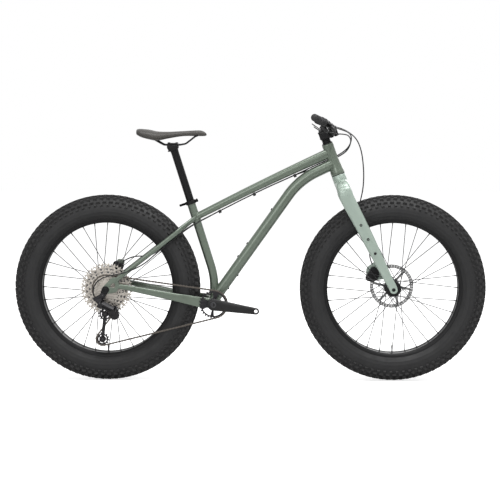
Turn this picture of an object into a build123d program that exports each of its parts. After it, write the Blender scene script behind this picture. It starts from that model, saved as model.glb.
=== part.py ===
"""Rigid fat-tyred mountain bike with a single chainring, a twelve-speed cassette and disc brakes.

Millimetres. +X points forward, +Y to the rider's left, +Z up. The origin is on the ground,
midway between the two tyres, in the bike's middle plane. The drive side faces -Y.
"""

import os
from math import asin, atan2, cos, hypot, pi, radians, sin, tan

from build123d import *

os.makedirs("parts", exist_ok=True)

# ---------------------------------------------------------------- driving dimensions
# wheels
wheelbase = 1169.0
tyre_diameter = 762.0
tyre_width = 120.0
tread_width = 68.0
tyre_wall = 4.0
tread_thickness = 8.0
bead_seat_radius = 279.5
rim_width = 82.0
rim_flange_height = 6.5
rim_flange_thickness = 4.0
rim_depth = 12.0
rim_bridge_width = 70.0
spokes_per_wheel = 32
spoke_thickness = 2.0
spoke_lean = 1.5
valve_length = 34.0
valve_thickness = 6.0
wheel_facets = 40

# hubs, axles and brake rotors
axle_radius = 7.5
hub_clearance = 0.1
hub_cap_radius = 12.0
hub_waist_radius = 17.0
flange_radius = 33.0
flange_thickness = 4.0
spoke_circle_radius = 29.0
front_hub_width = 150.0
rear_hub_width = 197.0
front_flange_left = 34.0
front_flange_right = 46.0
rear_flange_left = 48.0
rear_flange_right = 44.0
rotor_thickness = 1.9
rotor_band = 15.0
rotor_boss_radius = 22.0
rotor_arm_width = 7.0
rotor_arms = 6
front_rotor_radius = 90.0
rear_rotor_radius = 80.0
front_rotor_y = 60.0
rear_rotor_y = 84.0

# frame
head_angle = 70.3
head_tube_length = 130.0
head_tube_top_radius = 23.0
head_tube_bottom_radius = 28.0
bearing_seat_top = 20.6
bearing_seat_bottom = 25.0
bearing_seat_depth = 20.0
lower_cup_stack = 3.0
chainstay_length = 441.5
bottom_bracket_drop = 62.0
bottom_bracket_width = 100.0
bottom_bracket_radius = 23.0
bottom_bracket_bore = 20.5
seat_angle = 72.5
seat_tube_bend_height = 111.0
seat_tube_bend_radius = 290.0
seat_tube_top_height = 414.0
seat_tube_radius = 17.5
post_clearance = 0.1
seat_bore_depth = 240.0
seat_stay_depth = 19.0
seat_stay_angle = 37.9
seat_stay_joint = 668.8
top_tube_drop = 66.0
top_tube_rise = 5.0
down_tube_set_back = 9.5
bearing_height = 12.0
cup_flange = 8.0
hanger_setback = 12.0
hanger_drop = 27.0
hanger_thickness = 6.0
hanger_bolt_radius = 5.0
down_tube_angle = 54.6
down_tube_radius = 22.5
down_tube_run = 617.0
down_tube_bend_radius = 340.0
down_tube_joint = 47.0
top_tube_joint = 94.0
dropout_thickness = 8.0
stay_yoke_thickness = 8.0
stay_inner_gap = 61.5

# fork
fork_offset = 55.0
axle_to_crown = 511.0
steerer_radius = 14.3
steerer_lower_radius = 19.0
fork_leg_depth = 58.0
dropout_end_width = 14.0
fork_boss_low = 166.0
fork_boss_pitch = 64.0
crown_low = 405.0
crown_ahead = 31.0
brake_mount_y = 76.0

# cockpit
spacer_stack = 21.0
spacer_radius = 17.5
stem_length = 35.0
stem_height = 38.0
bar_width = 780.0
bar_clamp_radius = 15.9
bar_radius = 11.1
bar_rise = 27.0
bar_end_lift = 54.0
bar_end_setback = 66.0
bar_bend_y = 98.0
grip_radius = 16.0
grip_length = 132.0
lever_clamp_y = 236.0
shifter_clamp_y = 188.0
lever_tilt = 28.0
lever_pivot = (6.0, 39.0)
lever_pin_radius = 2.5
lever_body_half = 7.0
lever_slot_half = 3.2
lever_blade_half = 2.8
shifter_tilt = 35.0
shifter_top = 15.5
shifter_depth = 15.0
shifter_pin_length = 11.0
shift_pin_radius = 4.0

# seat
post_radius = 15.8
post_length = 330.0
post_exposed = 228.0
collar_wall = 4.0
saddle_rail_radius = 3.5
saddle_rail_spread = 22.0

# drivetrain
chain_pitch = 12.7
chain_y = -72.0
ring_teeth = 28
engaged_cog_teeth = 28
pulley_teeth = 13
cog_teeth = (51, 45, 39, 33, 28, 24, 21, 18, 16, 14, 12, 10)
cog_pitch = 3.3
cog_thickness = 1.5
tooth_height = 3.0
tooth_root = 4.3
tooth_base_width = 6.3
tooth_tip_width = 2.4
plate_height = 7.2
plate_thickness = 0.65
plate_gap = 0.05
chain_half_window = 0.9
crank_length = 175.0
crank_angle = -8.0
spindle_radius = 14.5
spindle_bore = 11.0
crank_boss_radius = 24.0
crank_end_radius = 13.5
crank_inner_y = 79.0
crank_outer_y = 94.0
pedal_thread_radius = 7.1

inner_link_length = 18.0
outer_link_length = 20.3
link_window = 6.7
cassette_core_radius = 16.0
cassette_end_radius = 12.5
ring_thickness = 1.7
ring_hub_inner = 59.0

# derailleur
guide_offset = (-42.0, 0.0, 2.0)
tension_offset = (-54.0, 0.0, -100.0)
cage_pivot_place = (-548.0, 0.0, 276.0)
hinge_direction = (0.2874, 0.7653, 0.5748)
link_direction = (0.8944, 0.0, -0.4472)
upper_pin_place = (-600.7, -112.0, 318.4)
link_length = 50.0
link_spacing = 14.0
link_half = 10.0
link_pin_radius = 2.5
link_end_radius = 5.0
ear_thickness = 3.7
clutch_inner = 79.5
clutch_outer = 106.0
cage_pin_radius = 5.0
cage_pin_length = 20.0
cage_plate = 2.0
cage_plate_half = 6.0
cage_plate_end = 9.0
cage_outer_y = -76.0
cage_inner_y = -66.0
pulley_bolt_radius = 2.5
pulley_half = 3.5
pulley_tooth_base = 5.0

# brakes, hoses and small fittings
caliper_slot_half = 6.0
pad_gap = 0.4
pad_thickness = 4.2
front_caliper_turn = 149.0
rear_caliper_turn = 62.0
hose_radius = 2.5
quick_pin_radius = 3.0
rail_seat = 8.0
guide_slope = 26.0
guide_places = ((182.5, 842.5), (16.4, 766.0), (-124.0, 695.5))
boss_stations = ((455.0, 1), (283.0, 1), (218.0, 1), (153.0, -1), (87.0, -1))

# running clearances
fit = 0.05
gap = 0.4

# ---------------------------------------------------------------- places that follow
wheel_radius = tyre_diameter / 2
front_x = wheelbase / 2
rear_x = -wheelbase / 2
axle_z = wheel_radius
front_axle_point = Vector(front_x, 0, axle_z)
rear_axle_point = Vector(rear_x, 0, axle_z)

steer_up = Vector(-cos(radians(head_angle)), 0, sin(radians(head_angle)))
steer_ahead = Vector(sin(radians(head_angle)), 0, cos(radians(head_angle)))
steer_foot = front_axle_point - steer_ahead * fork_offset
steer_side = Plane(origin=steer_foot, x_dir=steer_ahead, z_dir=(0, -1, 0))

head_bottom = axle_to_crown + lower_cup_stack
head_top = head_bottom + head_tube_length
stem_bottom = head_top + spacer_stack
stem_middle = stem_bottom + stem_height / 2

bb_x = rear_x + (chainstay_length**2 - bottom_bracket_drop**2) ** 0.5
bb_z = axle_z - bottom_bracket_drop
bb_point = Vector(bb_x, 0, bb_z)

seat_up = Vector(-cos(radians(seat_angle)), 0, sin(radians(seat_angle)))
seat_ahead = Vector(sin(radians(seat_angle)), 0, cos(radians(seat_angle)))
seat_bend = bb_point + Vector(0, 0, seat_tube_bend_height)
seat_run = (seat_tube_top_height - seat_tube_bend_height) / sin(radians(seat_angle))
seat_top = seat_bend + seat_up * seat_run
post_head = seat_top + seat_up * (post_exposed + 8)
cage_pivot_point = Vector(*cage_pivot_place)
upper_pin = Vector(*upper_pin_place)


def on_steerer(along, ahead=0.0, y=0.0):
    """A point given along the steering axis, ahead of it and to the left of it."""
    return steer_foot + steer_up * along + steer_ahead * ahead + Vector(0, y, 0)


def across_steerer(along, ahead=0.0, y=0.0):
    """A plane square to the steering axis, local x forward and local y to the left."""
    return Plane(origin=on_steerer(along, ahead, y), x_dir=steer_ahead, z_dir=steer_up)


def on_post(along, ahead=0.0, y=0.0):
    """A point given along the seat tube's upper run, measured from its top."""
    return seat_top + seat_up * along + seat_ahead * ahead + Vector(0, y, 0)


def side(y=0.0, x=0.0, z=0.0):
    """A plane seen from the drive side: local x forward, local y up, extruding to -Y."""
    return Plane(origin=(x, y, z), x_dir=(1, 0, 0), z_dir=(0, -1, 0))


def across(point, direction):
    """A plane square to a tube at a point, with its local x crosswise to the bike."""
    return Plane(origin=point, x_dir=(0, 1, 0), z_dir=direction)


def wheel_ring(centre, outline):
    """A section (crosswise place, radius) carried round a many-sided hoop, flat at its foot."""
    step = 2 * pi / wheel_facets
    hoop_radius = bead_seat_radius / cos(step / 2)
    corners = []
    for k in range(wheel_facets):
        turn = (k + 0.5) * step
        corners.append(centre + Vector(cos(turn), 0, sin(turn)) * hoop_radius)
    start = (corners[-1] + corners[0]) / 2
    with BuildPart() as ring:
        with BuildLine() as hoop:
            Polyline(start, *corners, start)
        with BuildSketch(Plane(origin=start, x_dir=(0, 1, 0), z_dir=(0, 0, 1))):
            with BuildLine():
                Polyline(*[(y, bead_seat_radius - r) for y, r in outline], close=True)
            make_face()
        sweep(path=hoop.line, transition=Transition.RIGHT)
    return ring.part


def oval(width, depth, sides):
    """Corners of a many-sided oval, the first at its crosswise end."""
    turns = [2 * pi * k / sides for k in range(sides)]
    return [(width / 2 * cos(turn), depth / 2 * sin(turn)) for turn in turns]


def lofted(sections, sides=12):
    """A tube of many-sided oval sections: (point, direction, crosswise size, depth)."""
    with BuildPart() as body:
        for point, direction, width, depth in sections:
            with BuildSketch(across(point, direction)):
                with BuildLine():
                    Polyline(*oval(width, depth, sides), close=True)
                make_face()
        loft(ruled=True)
    return body.part


def prism(plane, corners, amount):
    """A flat-sided block: a closed outline carried straight off its plane."""
    with BuildPart() as block:
        with BuildSketch(plane):
            with BuildLine():
                Polyline(*corners, close=True)
            make_face()
        extrude(amount=amount)
    return block.part


def shaft(start, end, radius, sides=12):
    """A straight bar whose corners lie on its radius."""
    with BuildPart() as bar:
        with BuildSketch(Plane(origin=start, z_dir=end - start)):
            RegularPolygon(radius, sides)
        extrude(amount=(end - start).length)
    return bar.part


def sleeve(start, end, radius, bore, sides=16):
    """A ring or pipe whose bore clears a shaft of the bore's radius."""
    with BuildPart() as pipe:
        with BuildSketch(Plane(origin=start, z_dir=end - start)):
            RegularPolygon(radius, sides)
            RegularPolygon(bore, sides, major_radius=False, mode=Mode.SUBTRACT)
        extrude(amount=(end - start).length)
    return pipe.part


def hose_path(points):
    """Straight runs joined by arcs of 0.45 of the shorter run over the half turn's tangent."""
    radii = []
    for before, corner, after in zip(points, points[1:], points[2:]):
        turn = radians((corner - before).get_angle(after - corner))
        shorter = min((corner - before).length, (after - corner).length)
        radii.append(0.45 * shorter / tan(turn / 2))
    return radii


def hose(points, radius, name):
    """A plain flexible tube along the points of its route."""
    corners = [Vector(*point) for point in points]
    radii = hose_path(corners)
    print(name, "bend radii", [round(bend) for bend in radii])
    with BuildPart() as tube:
        with BuildLine() as route:
            FilletPolyline(*corners, radius=radii)
        with BuildSketch(Plane(origin=route.line @ 0, z_dir=route.line % 0)):
            RegularPolygon(radius, 6)
        sweep()
    return tube.part


# ---------------------------------------------------------------- wheels
def build_wheel(end, centre, flange_left, flange_right, hub_width, rotor_y, rotor_radius):
    """Tyre, rim with valve, crossed spokes, hub and rotor of one wheel."""
    half = tyre_width / 2
    tread = tread_width / 2
    bead = rim_width / 2 - 5.5
    shoulder = wheel_radius - 15
    belly = bead_seat_radius + 0.5 * (wheel_radius - bead_seat_radius)
    with BuildPart() as tyre:
        add(
            wheel_ring(
                centre,
                [
                    (-bead, bead_seat_radius + fit),
                    (-half, belly),
                    (-half + 7, shoulder),
                    (-tread, wheel_radius),
                    (tread, wheel_radius),
                    (half - 7, shoulder),
                    (half, belly),
                    (bead, bead_seat_radius + fit),
                    (bead - tyre_wall, bead_seat_radius + fit),
                    (half - 1.6 * tyre_wall, belly + tyre_wall),
                    (0, wheel_radius - tread_thickness),
                    (-half + 1.6 * tyre_wall, belly + tyre_wall),
                    (-bead + tyre_wall, bead_seat_radius + fit),
                ],
            )
        )
    tyre.part.label = f"{end}_tyre"
    export_step(tyre.part, f"parts/{end}_tyre.step")

    rim_half = rim_width / 2
    rim_inner_radius = bead_seat_radius - rim_depth
    with BuildPart() as rim:
        add(
            wheel_ring(
                centre,
                [
                    (-rim_half, bead_seat_radius + rim_flange_height),
                    (-rim_bridge_width / 2, rim_inner_radius),
                    (rim_bridge_width / 2, rim_inner_radius),
                    (rim_half, bead_seat_radius + rim_flange_height),
                    (rim_half - rim_flange_thickness, bead_seat_radius),
                    (-rim_half + rim_flange_thickness, bead_seat_radius),
                ],
            )
        )
        with BuildSketch(Plane(origin=centre - Vector(0, 0, rim_inner_radius - 2), z_dir=(0, 0, 1))):
            Rectangle(valve_thickness, valve_thickness)
        extrude(amount=valve_length)
    rim.part.label = f"{end}_rim"
    export_step(rim.part, f"parts/{end}_rim.step")

    with BuildPart() as spokes:
        for plane, length in spoke_lines(centre, flange_left, flange_right, rim_inner_radius - gap):
            with BuildSketch(plane):
                Rectangle(spoke_thickness, spoke_thickness)
            extrude(amount=length)
    spokes.part.label = f"{end}_spokes"
    export_step(spokes.part, f"parts/{end}_spokes.step")

    with BuildPart() as rotor:
        with BuildSketch(side(rotor_y + rotor_thickness / 2, centre.X, centre.Z)):
            RegularPolygon(rotor_radius, 24)
            RegularPolygon(rotor_radius - rotor_band, 24, mode=Mode.SUBTRACT)
            with PolarLocations(0, rotor_arms):
                with Locations(Location((rotor_radius / 2 + 3, -6, 0), (0, 0, 14))):
                    Rectangle(rotor_radius - rotor_band, rotor_arm_width)
            RegularPolygon(rotor_boss_radius + 4, 12)
            RegularPolygon(rotor_boss_radius - 4, 12, mode=Mode.SUBTRACT)
        extrude(amount=rotor_thickness)
    rotor.part.label = f"{end}_rotor"
    export_step(rotor.part, f"parts/{end}_rotor.step")
    return rim


def spoke_lines(centre, flange_left, flange_right, rim_inner_radius):
    """Three-cross lacing: the plane at each spoke's hub end and its length."""
    per_set = spokes_per_wheel // 4
    step = 2 * pi / per_set
    cross = radians(67.5)
    beside = flange_thickness / 2 + spoke_thickness / 2 + fit
    outside = beside + spoke_lean
    sets = (
        (flange_left + outside, 0.0, cross, 9.0),
        (flange_left - beside, step / 2, -cross, 9.0),
        (-flange_right - outside, step / 4, cross, -9.0),
        (-flange_right + beside, 3 * step / 4, -cross, -9.0),
    )
    lines = []
    for hub_y, hub_phase, lead, rim_y in sets:
        for k in range(per_set):
            hub_turn = hub_phase + k * step
            rim_turn = hub_turn + lead
            start = centre + Vector(
                spoke_circle_radius * cos(hub_turn), hub_y, spoke_circle_radius * sin(hub_turn)
            )
            end = centre + Vector(
                rim_inner_radius * cos(rim_turn), rim_y, rim_inner_radius * sin(rim_turn)
            )
            lines.append((Plane(origin=start, z_dir=end - start), (end - start).length))
    return lines


def build_hub(end, centre, flange_left, flange_right, left_end, right_end, rotor_y):
    """A turned hub shell with two drilled-look flanges and a seat for the rotor."""
    with BuildPart() as hub:
        with BuildSketch(side(left_end, centre.X, centre.Z)):
            RegularPolygon(hub_cap_radius, 16)
        extrude(amount=left_end - right_end)
        with BuildSketch(side(flange_left, centre.X, centre.Z)):
            RegularPolygon(hub_waist_radius, 16)
        extrude(amount=flange_left + flange_right)
        for flange_y in (flange_left, -flange_right):
            with BuildSketch(side(flange_y + flange_thickness / 2, centre.X, centre.Z)):
                RegularPolygon(flange_radius, spokes_per_wheel // 2)
            extrude(amount=flange_thickness)
        rotor_face = rotor_y - rotor_thickness / 2
        with BuildSketch(side(rotor_face, centre.X, centre.Z)):
            RegularPolygon(rotor_boss_radius, 12)
        extrude(amount=rotor_face - flange_left)
        with BuildSketch(side(rotor_y + rotor_thickness * 1.5, centre.X, centre.Z)):
            RegularPolygon(rotor_boss_radius - 4.5, 12)
        extrude(amount=rotor_thickness * 2)
        with BuildSketch(side(left_end, centre.X, centre.Z)):
            RegularPolygon(axle_radius + hub_clearance, 16, major_radius=False)
        extrude(amount=left_end - right_end, mode=Mode.SUBTRACT)
    hub.part.label = f"{end}_hub"
    export_step(hub.part, f"parts/{end}_hub.step")
    return hub


build_wheel(
    "front",
    front_axle_point,
    front_flange_left,
    front_flange_right,
    front_hub_width,
    front_rotor_y,
    front_rotor_radius,
)
build_wheel(
    "rear",
    rear_axle_point,
    rear_flange_left,
    rear_flange_right,
    rear_hub_width,
    rear_rotor_y,
    rear_rotor_radius,
)
cassette_inner_y = -50.0
build_hub(
    "front",
    front_axle_point,
    front_flange_left,
    front_flange_right,
    front_hub_width / 2,
    -front_hub_width / 2,
    front_rotor_y,
)
build_hub(
    "rear",
    rear_axle_point,
    rear_flange_left,
    rear_flange_right,
    rear_hub_width / 2,
    cassette_inner_y,
    rear_rotor_y,
)

# ---------------------------------------------------------------- frame
# Solid outlines of the parts that others are mitred against come first.
head_stations = (
    (0.0, head_tube_bottom_radius),
    (16.0, head_tube_bottom_radius),
    (60.0, head_tube_top_radius),
    (head_tube_length, head_tube_top_radius),
)
with BuildPart() as head_blank:
    for along, radius in head_stations:
        with BuildSketch(across_steerer(head_bottom + along)):
            RegularPolygon(radius, 16)
    loft(ruled=True)

with BuildPart() as head_tube:
    add(head_blank.part)
    with BuildSketch(across_steerer(head_bottom)):
        RegularPolygon(bearing_seat_top, 16)
    extrude(amount=head_tube_length, mode=Mode.SUBTRACT)
    with BuildSketch(across_steerer(head_bottom)):
        RegularPolygon(bearing_seat_bottom, 16)
    extrude(amount=bearing_seat_depth, mode=Mode.SUBTRACT)
head_tube.part.label = "head_tube"
export_step(head_tube.part, "parts/head_tube.step")

shell_half = bottom_bracket_width / 2
shell_left = bb_point + Vector(0, shell_half, 0)
shell_right = bb_point - Vector(0, shell_half, 0)
shell_blank = shaft(shell_left, shell_right, bottom_bracket_radius, 16)
with BuildPart() as bottom_bracket_shell:
    add(shell_blank)
    with BuildSketch(side(shell_half, bb_x, bb_z)):
        RegularPolygon(bottom_bracket_bore, 16)
    extrude(amount=bottom_bracket_width, mode=Mode.SUBTRACT)
bottom_bracket_shell.part.label = "bottom_bracket_shell"
export_step(bottom_bracket_shell.part, "parts/bottom_bracket_shell.step")

# Pressed bearings: one set at each end of the head tube and of the bottom bracket shell.
with BuildPart() as frame_bearings:
    add(
        sleeve(
            on_steerer(head_top - bearing_height),
            on_steerer(head_top),
            bearing_seat_top - fit,
            steerer_radius + fit,
        )
    )
    add(
        sleeve(
            on_steerer(head_bottom),
            on_steerer(head_bottom + bearing_seat_depth - gap),
            bearing_seat_bottom - fit,
            steerer_lower_radius + fit,
        )
    )
    add(
        sleeve(
            on_steerer(head_bottom - lower_cup_stack + gap),
            on_steerer(head_bottom),
            head_tube_bottom_radius,
            steerer_lower_radius + fit,
        )
    )
    for hand in (1, -1):
        face = bb_point + Vector(0, hand * shell_half, 0)
        add(
            sleeve(
                face - Vector(0, hand * bearing_height, 0),
                face,
                bottom_bracket_bore - fit,
                spindle_radius + fit,
            )
        )
        add(
            sleeve(
                face,
                face + Vector(0, hand * cup_flange, 0),
                bottom_bracket_radius - 1,
                spindle_radius + fit,
            )
        )
frame_bearings.part.label = "frame_bearings"
export_step(frame_bearings.part, "parts/frame_bearings.step")

with BuildPart() as seat_blank:
    with BuildLine() as seat_line:
        FilletPolyline(bb_point, seat_bend, seat_top, radius=seat_tube_bend_radius)
    with BuildSketch(Plane(origin=bb_point, x_dir=(0, 1, 0), z_dir=(0, 0, 1))):
        RegularPolygon(seat_tube_radius, 12)
    sweep(path=seat_line.line)

with BuildPart() as seat_tube:
    add(seat_blank.part)
    with BuildSketch(Plane(origin=seat_top, x_dir=seat_ahead, z_dir=-seat_up)):
        RegularPolygon(post_radius + post_clearance, 16, major_radius=False)
    extrude(amount=seat_bore_depth, mode=Mode.SUBTRACT)
    add(shell_blank, mode=Mode.SUBTRACT)
seat_tube.part.label = "seat_tube"
export_step(seat_tube.part, "parts/seat_tube.step")

# The top tube runs back from the steering axis to the seat tube with a shallow arch.
top_tube_front = on_steerer(head_bottom + top_tube_joint)
top_tube_back = on_post(-top_tube_drop, 4.0)
top_tube_stations = ((0.0, 23.5, 38, 42), (0.2, 23.7, 38, 38), (0.55, 25.6, 39, 33), (1.0, 27.6, 35, 29))
top_tube_sections = []
for share, slope, width, depth in top_tube_stations:
    lift = Vector(0, 0, 4 * top_tube_rise * share * (1 - share))
    centre = top_tube_front + (top_tube_back - top_tube_front) * share + lift
    direction = Vector(-cos(radians(slope)), 0, -sin(radians(slope)))
    top_tube_sections.append((centre, direction, width, depth))
with BuildPart() as top_tube:
    add(lofted(top_tube_sections, 14))
    add(head_blank.part, mode=Mode.SUBTRACT)
    add(seat_blank.part, mode=Mode.SUBTRACT)
top_tube.part.label = "top_tube"
export_step(top_tube.part, "parts/top_tube.step")

down_dir = Vector(cos(radians(down_tube_angle)), 0, sin(radians(down_tube_angle)))
down_start = bb_point + Vector(-down_tube_set_back, 0, 0)
down_bend = down_start + down_dir * down_tube_run
down_front = on_steerer(head_bottom + down_tube_joint)
with BuildPart() as down_tube:
    with BuildLine() as down_line:
        FilletPolyline(down_start, down_bend, down_front, radius=down_tube_bend_radius)
    with BuildSketch(Plane(origin=down_start, x_dir=(0, 1, 0), z_dir=down_dir)):
        RegularPolygon(down_tube_radius, 14)
    sweep(path=down_line.line)
    add(shell_blank, mode=Mode.SUBTRACT)
    add(seat_blank.part, mode=Mode.SUBTRACT)
    add(head_blank.part, mode=Mode.SUBTRACT)
    add(top_tube.part, mode=Mode.SUBTRACT)
down_tube.part.label = "down_tube"
export_step(down_tube.part, "parts/down_tube.step")

# Rear dropouts are flat plates with a lightening slot; the drive side carries the hanger and
# the left plate rises into the brake mount.
dropout_inner = rear_hub_width / 2
dropout_outer = dropout_inner + dropout_thickness
dropout_outline = (
    (-14, -6),
    (-14, 8),
    (-4, 18),
    (26, 50),
    (46, 52),
    (54, 36),
    (56, 14),
    (46, -10),
    (12, -16),
    (-6, -15),
)
dropout_window = ((16, 10), (38, 8), (40, 24), (30, 28))
brake_tab = ((24, 46), (20, 84), (32, 108), (58, 104), (60, 90), (46, 68), (44, 50))

# Stay sections: place along the bike, inner and outer face, lower and upper edge.
yoke_outer = stay_inner_gap + stay_yoke_thickness
chain_stay_stations = (
    (bb_x + 6, 30, shell_half, bb_z - 20, bb_z + 20),
    (bb_x - 28, 36, 60, bb_z - 17, bb_z + 24),
    (bb_x - 56, stay_inner_gap, yoke_outer, bb_z - 13, bb_z + 29),
    (bb_x - 110, stay_inner_gap, yoke_outer, bb_z, bb_z + 38),
    (bb_x - 157, 64, 80, bb_z + 12.5, bb_z + 45.5),
    (rear_x + 88, 88, 104, axle_z - 3, axle_z + 19),
    (rear_x + 50, 93, dropout_outer, axle_z + 4, axle_z + 22),
)
stay_slope = tan(radians(seat_stay_angle))
seat_stay_plan = (
    (-222.0, 4, 28),
    (-243.0, 15, 37),
    (-285.0, 52, 72),
    (-322.0, 65, 83),
    (-400.0, 76, 94),
    (-500.0, 91, 107),
    (rear_x + 46, 96, 108),
)
seat_stay_half = seat_stay_depth / cos(radians(seat_stay_angle)) / 2
seat_stay_stations = []
for x, inner, outer in seat_stay_plan:
    middle = seat_stay_joint + (x - seat_stay_plan[0][0]) * stay_slope
    seat_stay_stations.append((x, inner, outer, middle - seat_stay_half, middle + seat_stay_half))


def stay_pair(stations, corner):
    """Both stays of a pair, through upright eight-sided sections."""
    with BuildPart() as pair:
        for hand in (1, -1):
            for x, inner, outer, low, high in stations:
                with BuildSketch(Plane(origin=(x, 0, 0), x_dir=(0, hand, 0), z_dir=(hand, 0, 0))):
                    with BuildLine():
                        Polyline(
                            (inner + corner, low),
                            (outer - corner, low),
                            (outer, low + corner),
                            (outer, high - corner),
                            (outer - corner, high),
                            (inner + corner, high),
                            (inner, high - corner),
                            (inner, low + corner),
                            close=True,
                        )
                    make_face()
            loft(ruled=True)
    return pair.part


with BuildPart() as chain_stays:
    add(stay_pair(chain_stay_stations, 3.0))
    add(shell_blank, mode=Mode.SUBTRACT)
    for hand in (1, -1):
        face = bb_point + Vector(0, hand * shell_half, 0)
        cup_space = shaft(face, face + Vector(0, hand * 30, 0), bottom_bracket_radius + 1, 16)
        add(cup_space, mode=Mode.SUBTRACT)
chain_stays.part.label = "chain_stays"
export_step(chain_stays.part, "parts/chain_stays.step")

with BuildPart() as seat_stays:
    add(stay_pair(seat_stay_stations, 4.5))
    add(seat_blank.part, mode=Mode.SUBTRACT)
seat_stays.part.label = "seat_stays"
export_step(seat_stays.part, "parts/seat_stays.step")

with BuildPart() as dropouts:
    for left_face in (dropout_outer, -dropout_inner):
        with BuildSketch(side(left_face, rear_x, axle_z)):
            with BuildLine():
                Polyline(*dropout_outline, close=True)
            make_face()
            if left_face > 0:
                with BuildLine():
                    Polyline(*brake_tab, close=True)
                make_face()
            RegularPolygon(axle_radius + fit, 16, major_radius=False, mode=Mode.SUBTRACT)
            with BuildLine():
                Polyline(*dropout_window, close=True)
            make_face(mode=Mode.SUBTRACT)
        extrude(amount=dropout_thickness)
    add(chain_stays.part, mode=Mode.SUBTRACT)
    add(seat_stays.part, mode=Mode.SUBTRACT)
dropouts.part.label = "dropouts"
export_step(dropouts.part, "parts/dropouts.step")

hanger_bolt = rear_axle_point + Vector(-hanger_setback, 0, -hanger_drop)
hanger_outer = dropout_outer + hanger_thickness
with BuildPart() as derailleur_hanger:
    with BuildSketch(side(-dropout_outer, rear_x, axle_z)):
        RegularPolygon(15, 12)
        with Locations((-hanger_setback, -hanger_drop)):
            RegularPolygon(11, 12)
        make_hull()
        RegularPolygon(axle_radius + fit, 16, major_radius=False, mode=Mode.SUBTRACT)
        with Locations((-hanger_setback, -hanger_drop)):
            RegularPolygon(hanger_bolt_radius + fit, 12, major_radius=False, mode=Mode.SUBTRACT)
    extrude(amount=hanger_thickness)
derailleur_hanger.part.label = "derailleur_hanger"
export_step(derailleur_hanger.part, "parts/derailleur_hanger.step")

# Thru axles, each with a driver head on the left.
for end, centre, outer, right_reach in (
    ("front", front_axle_point, front_hub_width / 2 + dropout_end_width, front_hub_width / 2 + 11),
    ("rear", rear_axle_point, dropout_outer, hanger_outer + 1),
):
    with BuildPart() as thru_axle:
        add(
            shaft(
                centre + Vector(0, outer + gap, 0),
                centre - Vector(0, right_reach, 0),
                axle_radius,
            )
        )
        add(shaft(centre + Vector(0, outer + 5, 0), centre + Vector(0, outer, 0), 10.5))
    thru_axle.part.label = f"{end}_axle"
    export_step(thru_axle.part, f"parts/{end}_axle.step")

# ---------------------------------------------------------------- fork
leg_stations = (
    (crown_low, 2.0, 87.0, 29.0, 58.0),
    (250.0, 24.0, 86.0, 27.0, 50.0),
    (80.0, 45.0, 84.5, 20.0, 38.0),
    (34.0, 51.0, 83.0, dropout_end_width, 34.0),
)
crown_outline = (
    (27, 506),
    (34, 480),
    (88, 466),
    (101, 448),
    (101.5, crown_low),
    (72.5, crown_low),
    (68, 420),
    (52, 434),
    (0, 438),
)
with BuildPart() as fork:
    with BuildSketch(Plane(origin=on_steerer(0, crown_ahead), x_dir=(0, 1, 0), z_dir=steer_ahead)):
        with BuildLine():
            Polyline(
                *crown_outline,
                *[(-y, along) for y, along in crown_outline[-2::-1]],
                close=True,
            )
        make_face()
    extrude(amount=-fork_leg_depth)
    with BuildSketch(across_steerer(500)):
        RegularPolygon(27, 16)
    extrude(amount=axle_to_crown - 500)
    with BuildSketch(across_steerer(axle_to_crown)):
        RegularPolygon(steerer_lower_radius, 16)
    extrude(amount=lower_cup_stack + bearing_seat_depth)
    with BuildSketch(across_steerer(axle_to_crown)):
        RegularPolygon(steerer_radius, 16)
    extrude(amount=stem_bottom + stem_height - 3 - axle_to_crown)
    for hand in (1, -1):
        for along, ahead, y, width, depth in leg_stations:
            with BuildSketch(across_steerer(along, ahead, hand * y)):
                with BuildLine():
                    Polyline(*oval(depth, width, 12), close=True)
                make_face()
        loft(ruled=True)
        inner_face = front_hub_width / 2
        with BuildSketch(
            steer_side.offset(-inner_face - (dropout_end_width if hand > 0 else -2 * inner_face))
        ):
            with BuildLine():
                Polyline(
                    (36, 52),
                    (66, 52),
                    (fork_offset + 17, 8),
                    (fork_offset + 14, -11),
                    (fork_offset, -17),
                    (fork_offset - 14, -11),
                    (fork_offset - 17, 8),
                    close=True,
                )
            make_face()
        extrude(amount=dropout_end_width)
    # post mount plate on the left leg
    with BuildSketch(side(brake_mount_y + 8, front_x, axle_z)):
        with BuildLine():
            Polyline((-34, 90), (-70, 100), (-104, 74), (-104, 26), (-60, 22), (-16, 30), close=True)
        make_face()
    extrude(amount=8)
    for along in (fork_boss_low, fork_boss_low + fork_boss_pitch, fork_boss_low + 2 * fork_boss_pitch):
        for hand in (1, -1):
            with BuildSketch(
                Plane(
                    origin=on_steerer(along, 54 - along * 0.125, hand * 97.0),
                    x_dir=steer_ahead,
                    z_dir=(0, hand, 0),
                )
            ):
                RegularPolygon(5.5, 10)
            extrude(amount=5.5)
    with BuildSketch(Plane(origin=front_axle_point + Vector(0, 100, 0), z_dir=(0, -1, 0))):
        RegularPolygon(axle_radius + fit, 16, major_radius=False)
    extrude(amount=200, mode=Mode.SUBTRACT)
fork.part.label = "fork"
export_step(fork.part, "parts/fork.step")

# ---------------------------------------------------------------- cockpit
with BuildPart() as headset_spacers:
    add(sleeve(on_steerer(head_top + gap), on_steerer(head_top + 7), 22.0, steerer_radius + fit))
    for k in range(3):
        low = head_top + 7 + k * (spacer_stack - 7) / 3
        high = low + (spacer_stack - 7) / 3 - 0.3
        add(sleeve(on_steerer(low), on_steerer(high), spacer_radius, steerer_radius + fit))
headset_spacers.part.label = "headset_spacers"
export_step(headset_spacers.part, "parts/headset_spacers.step")

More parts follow.
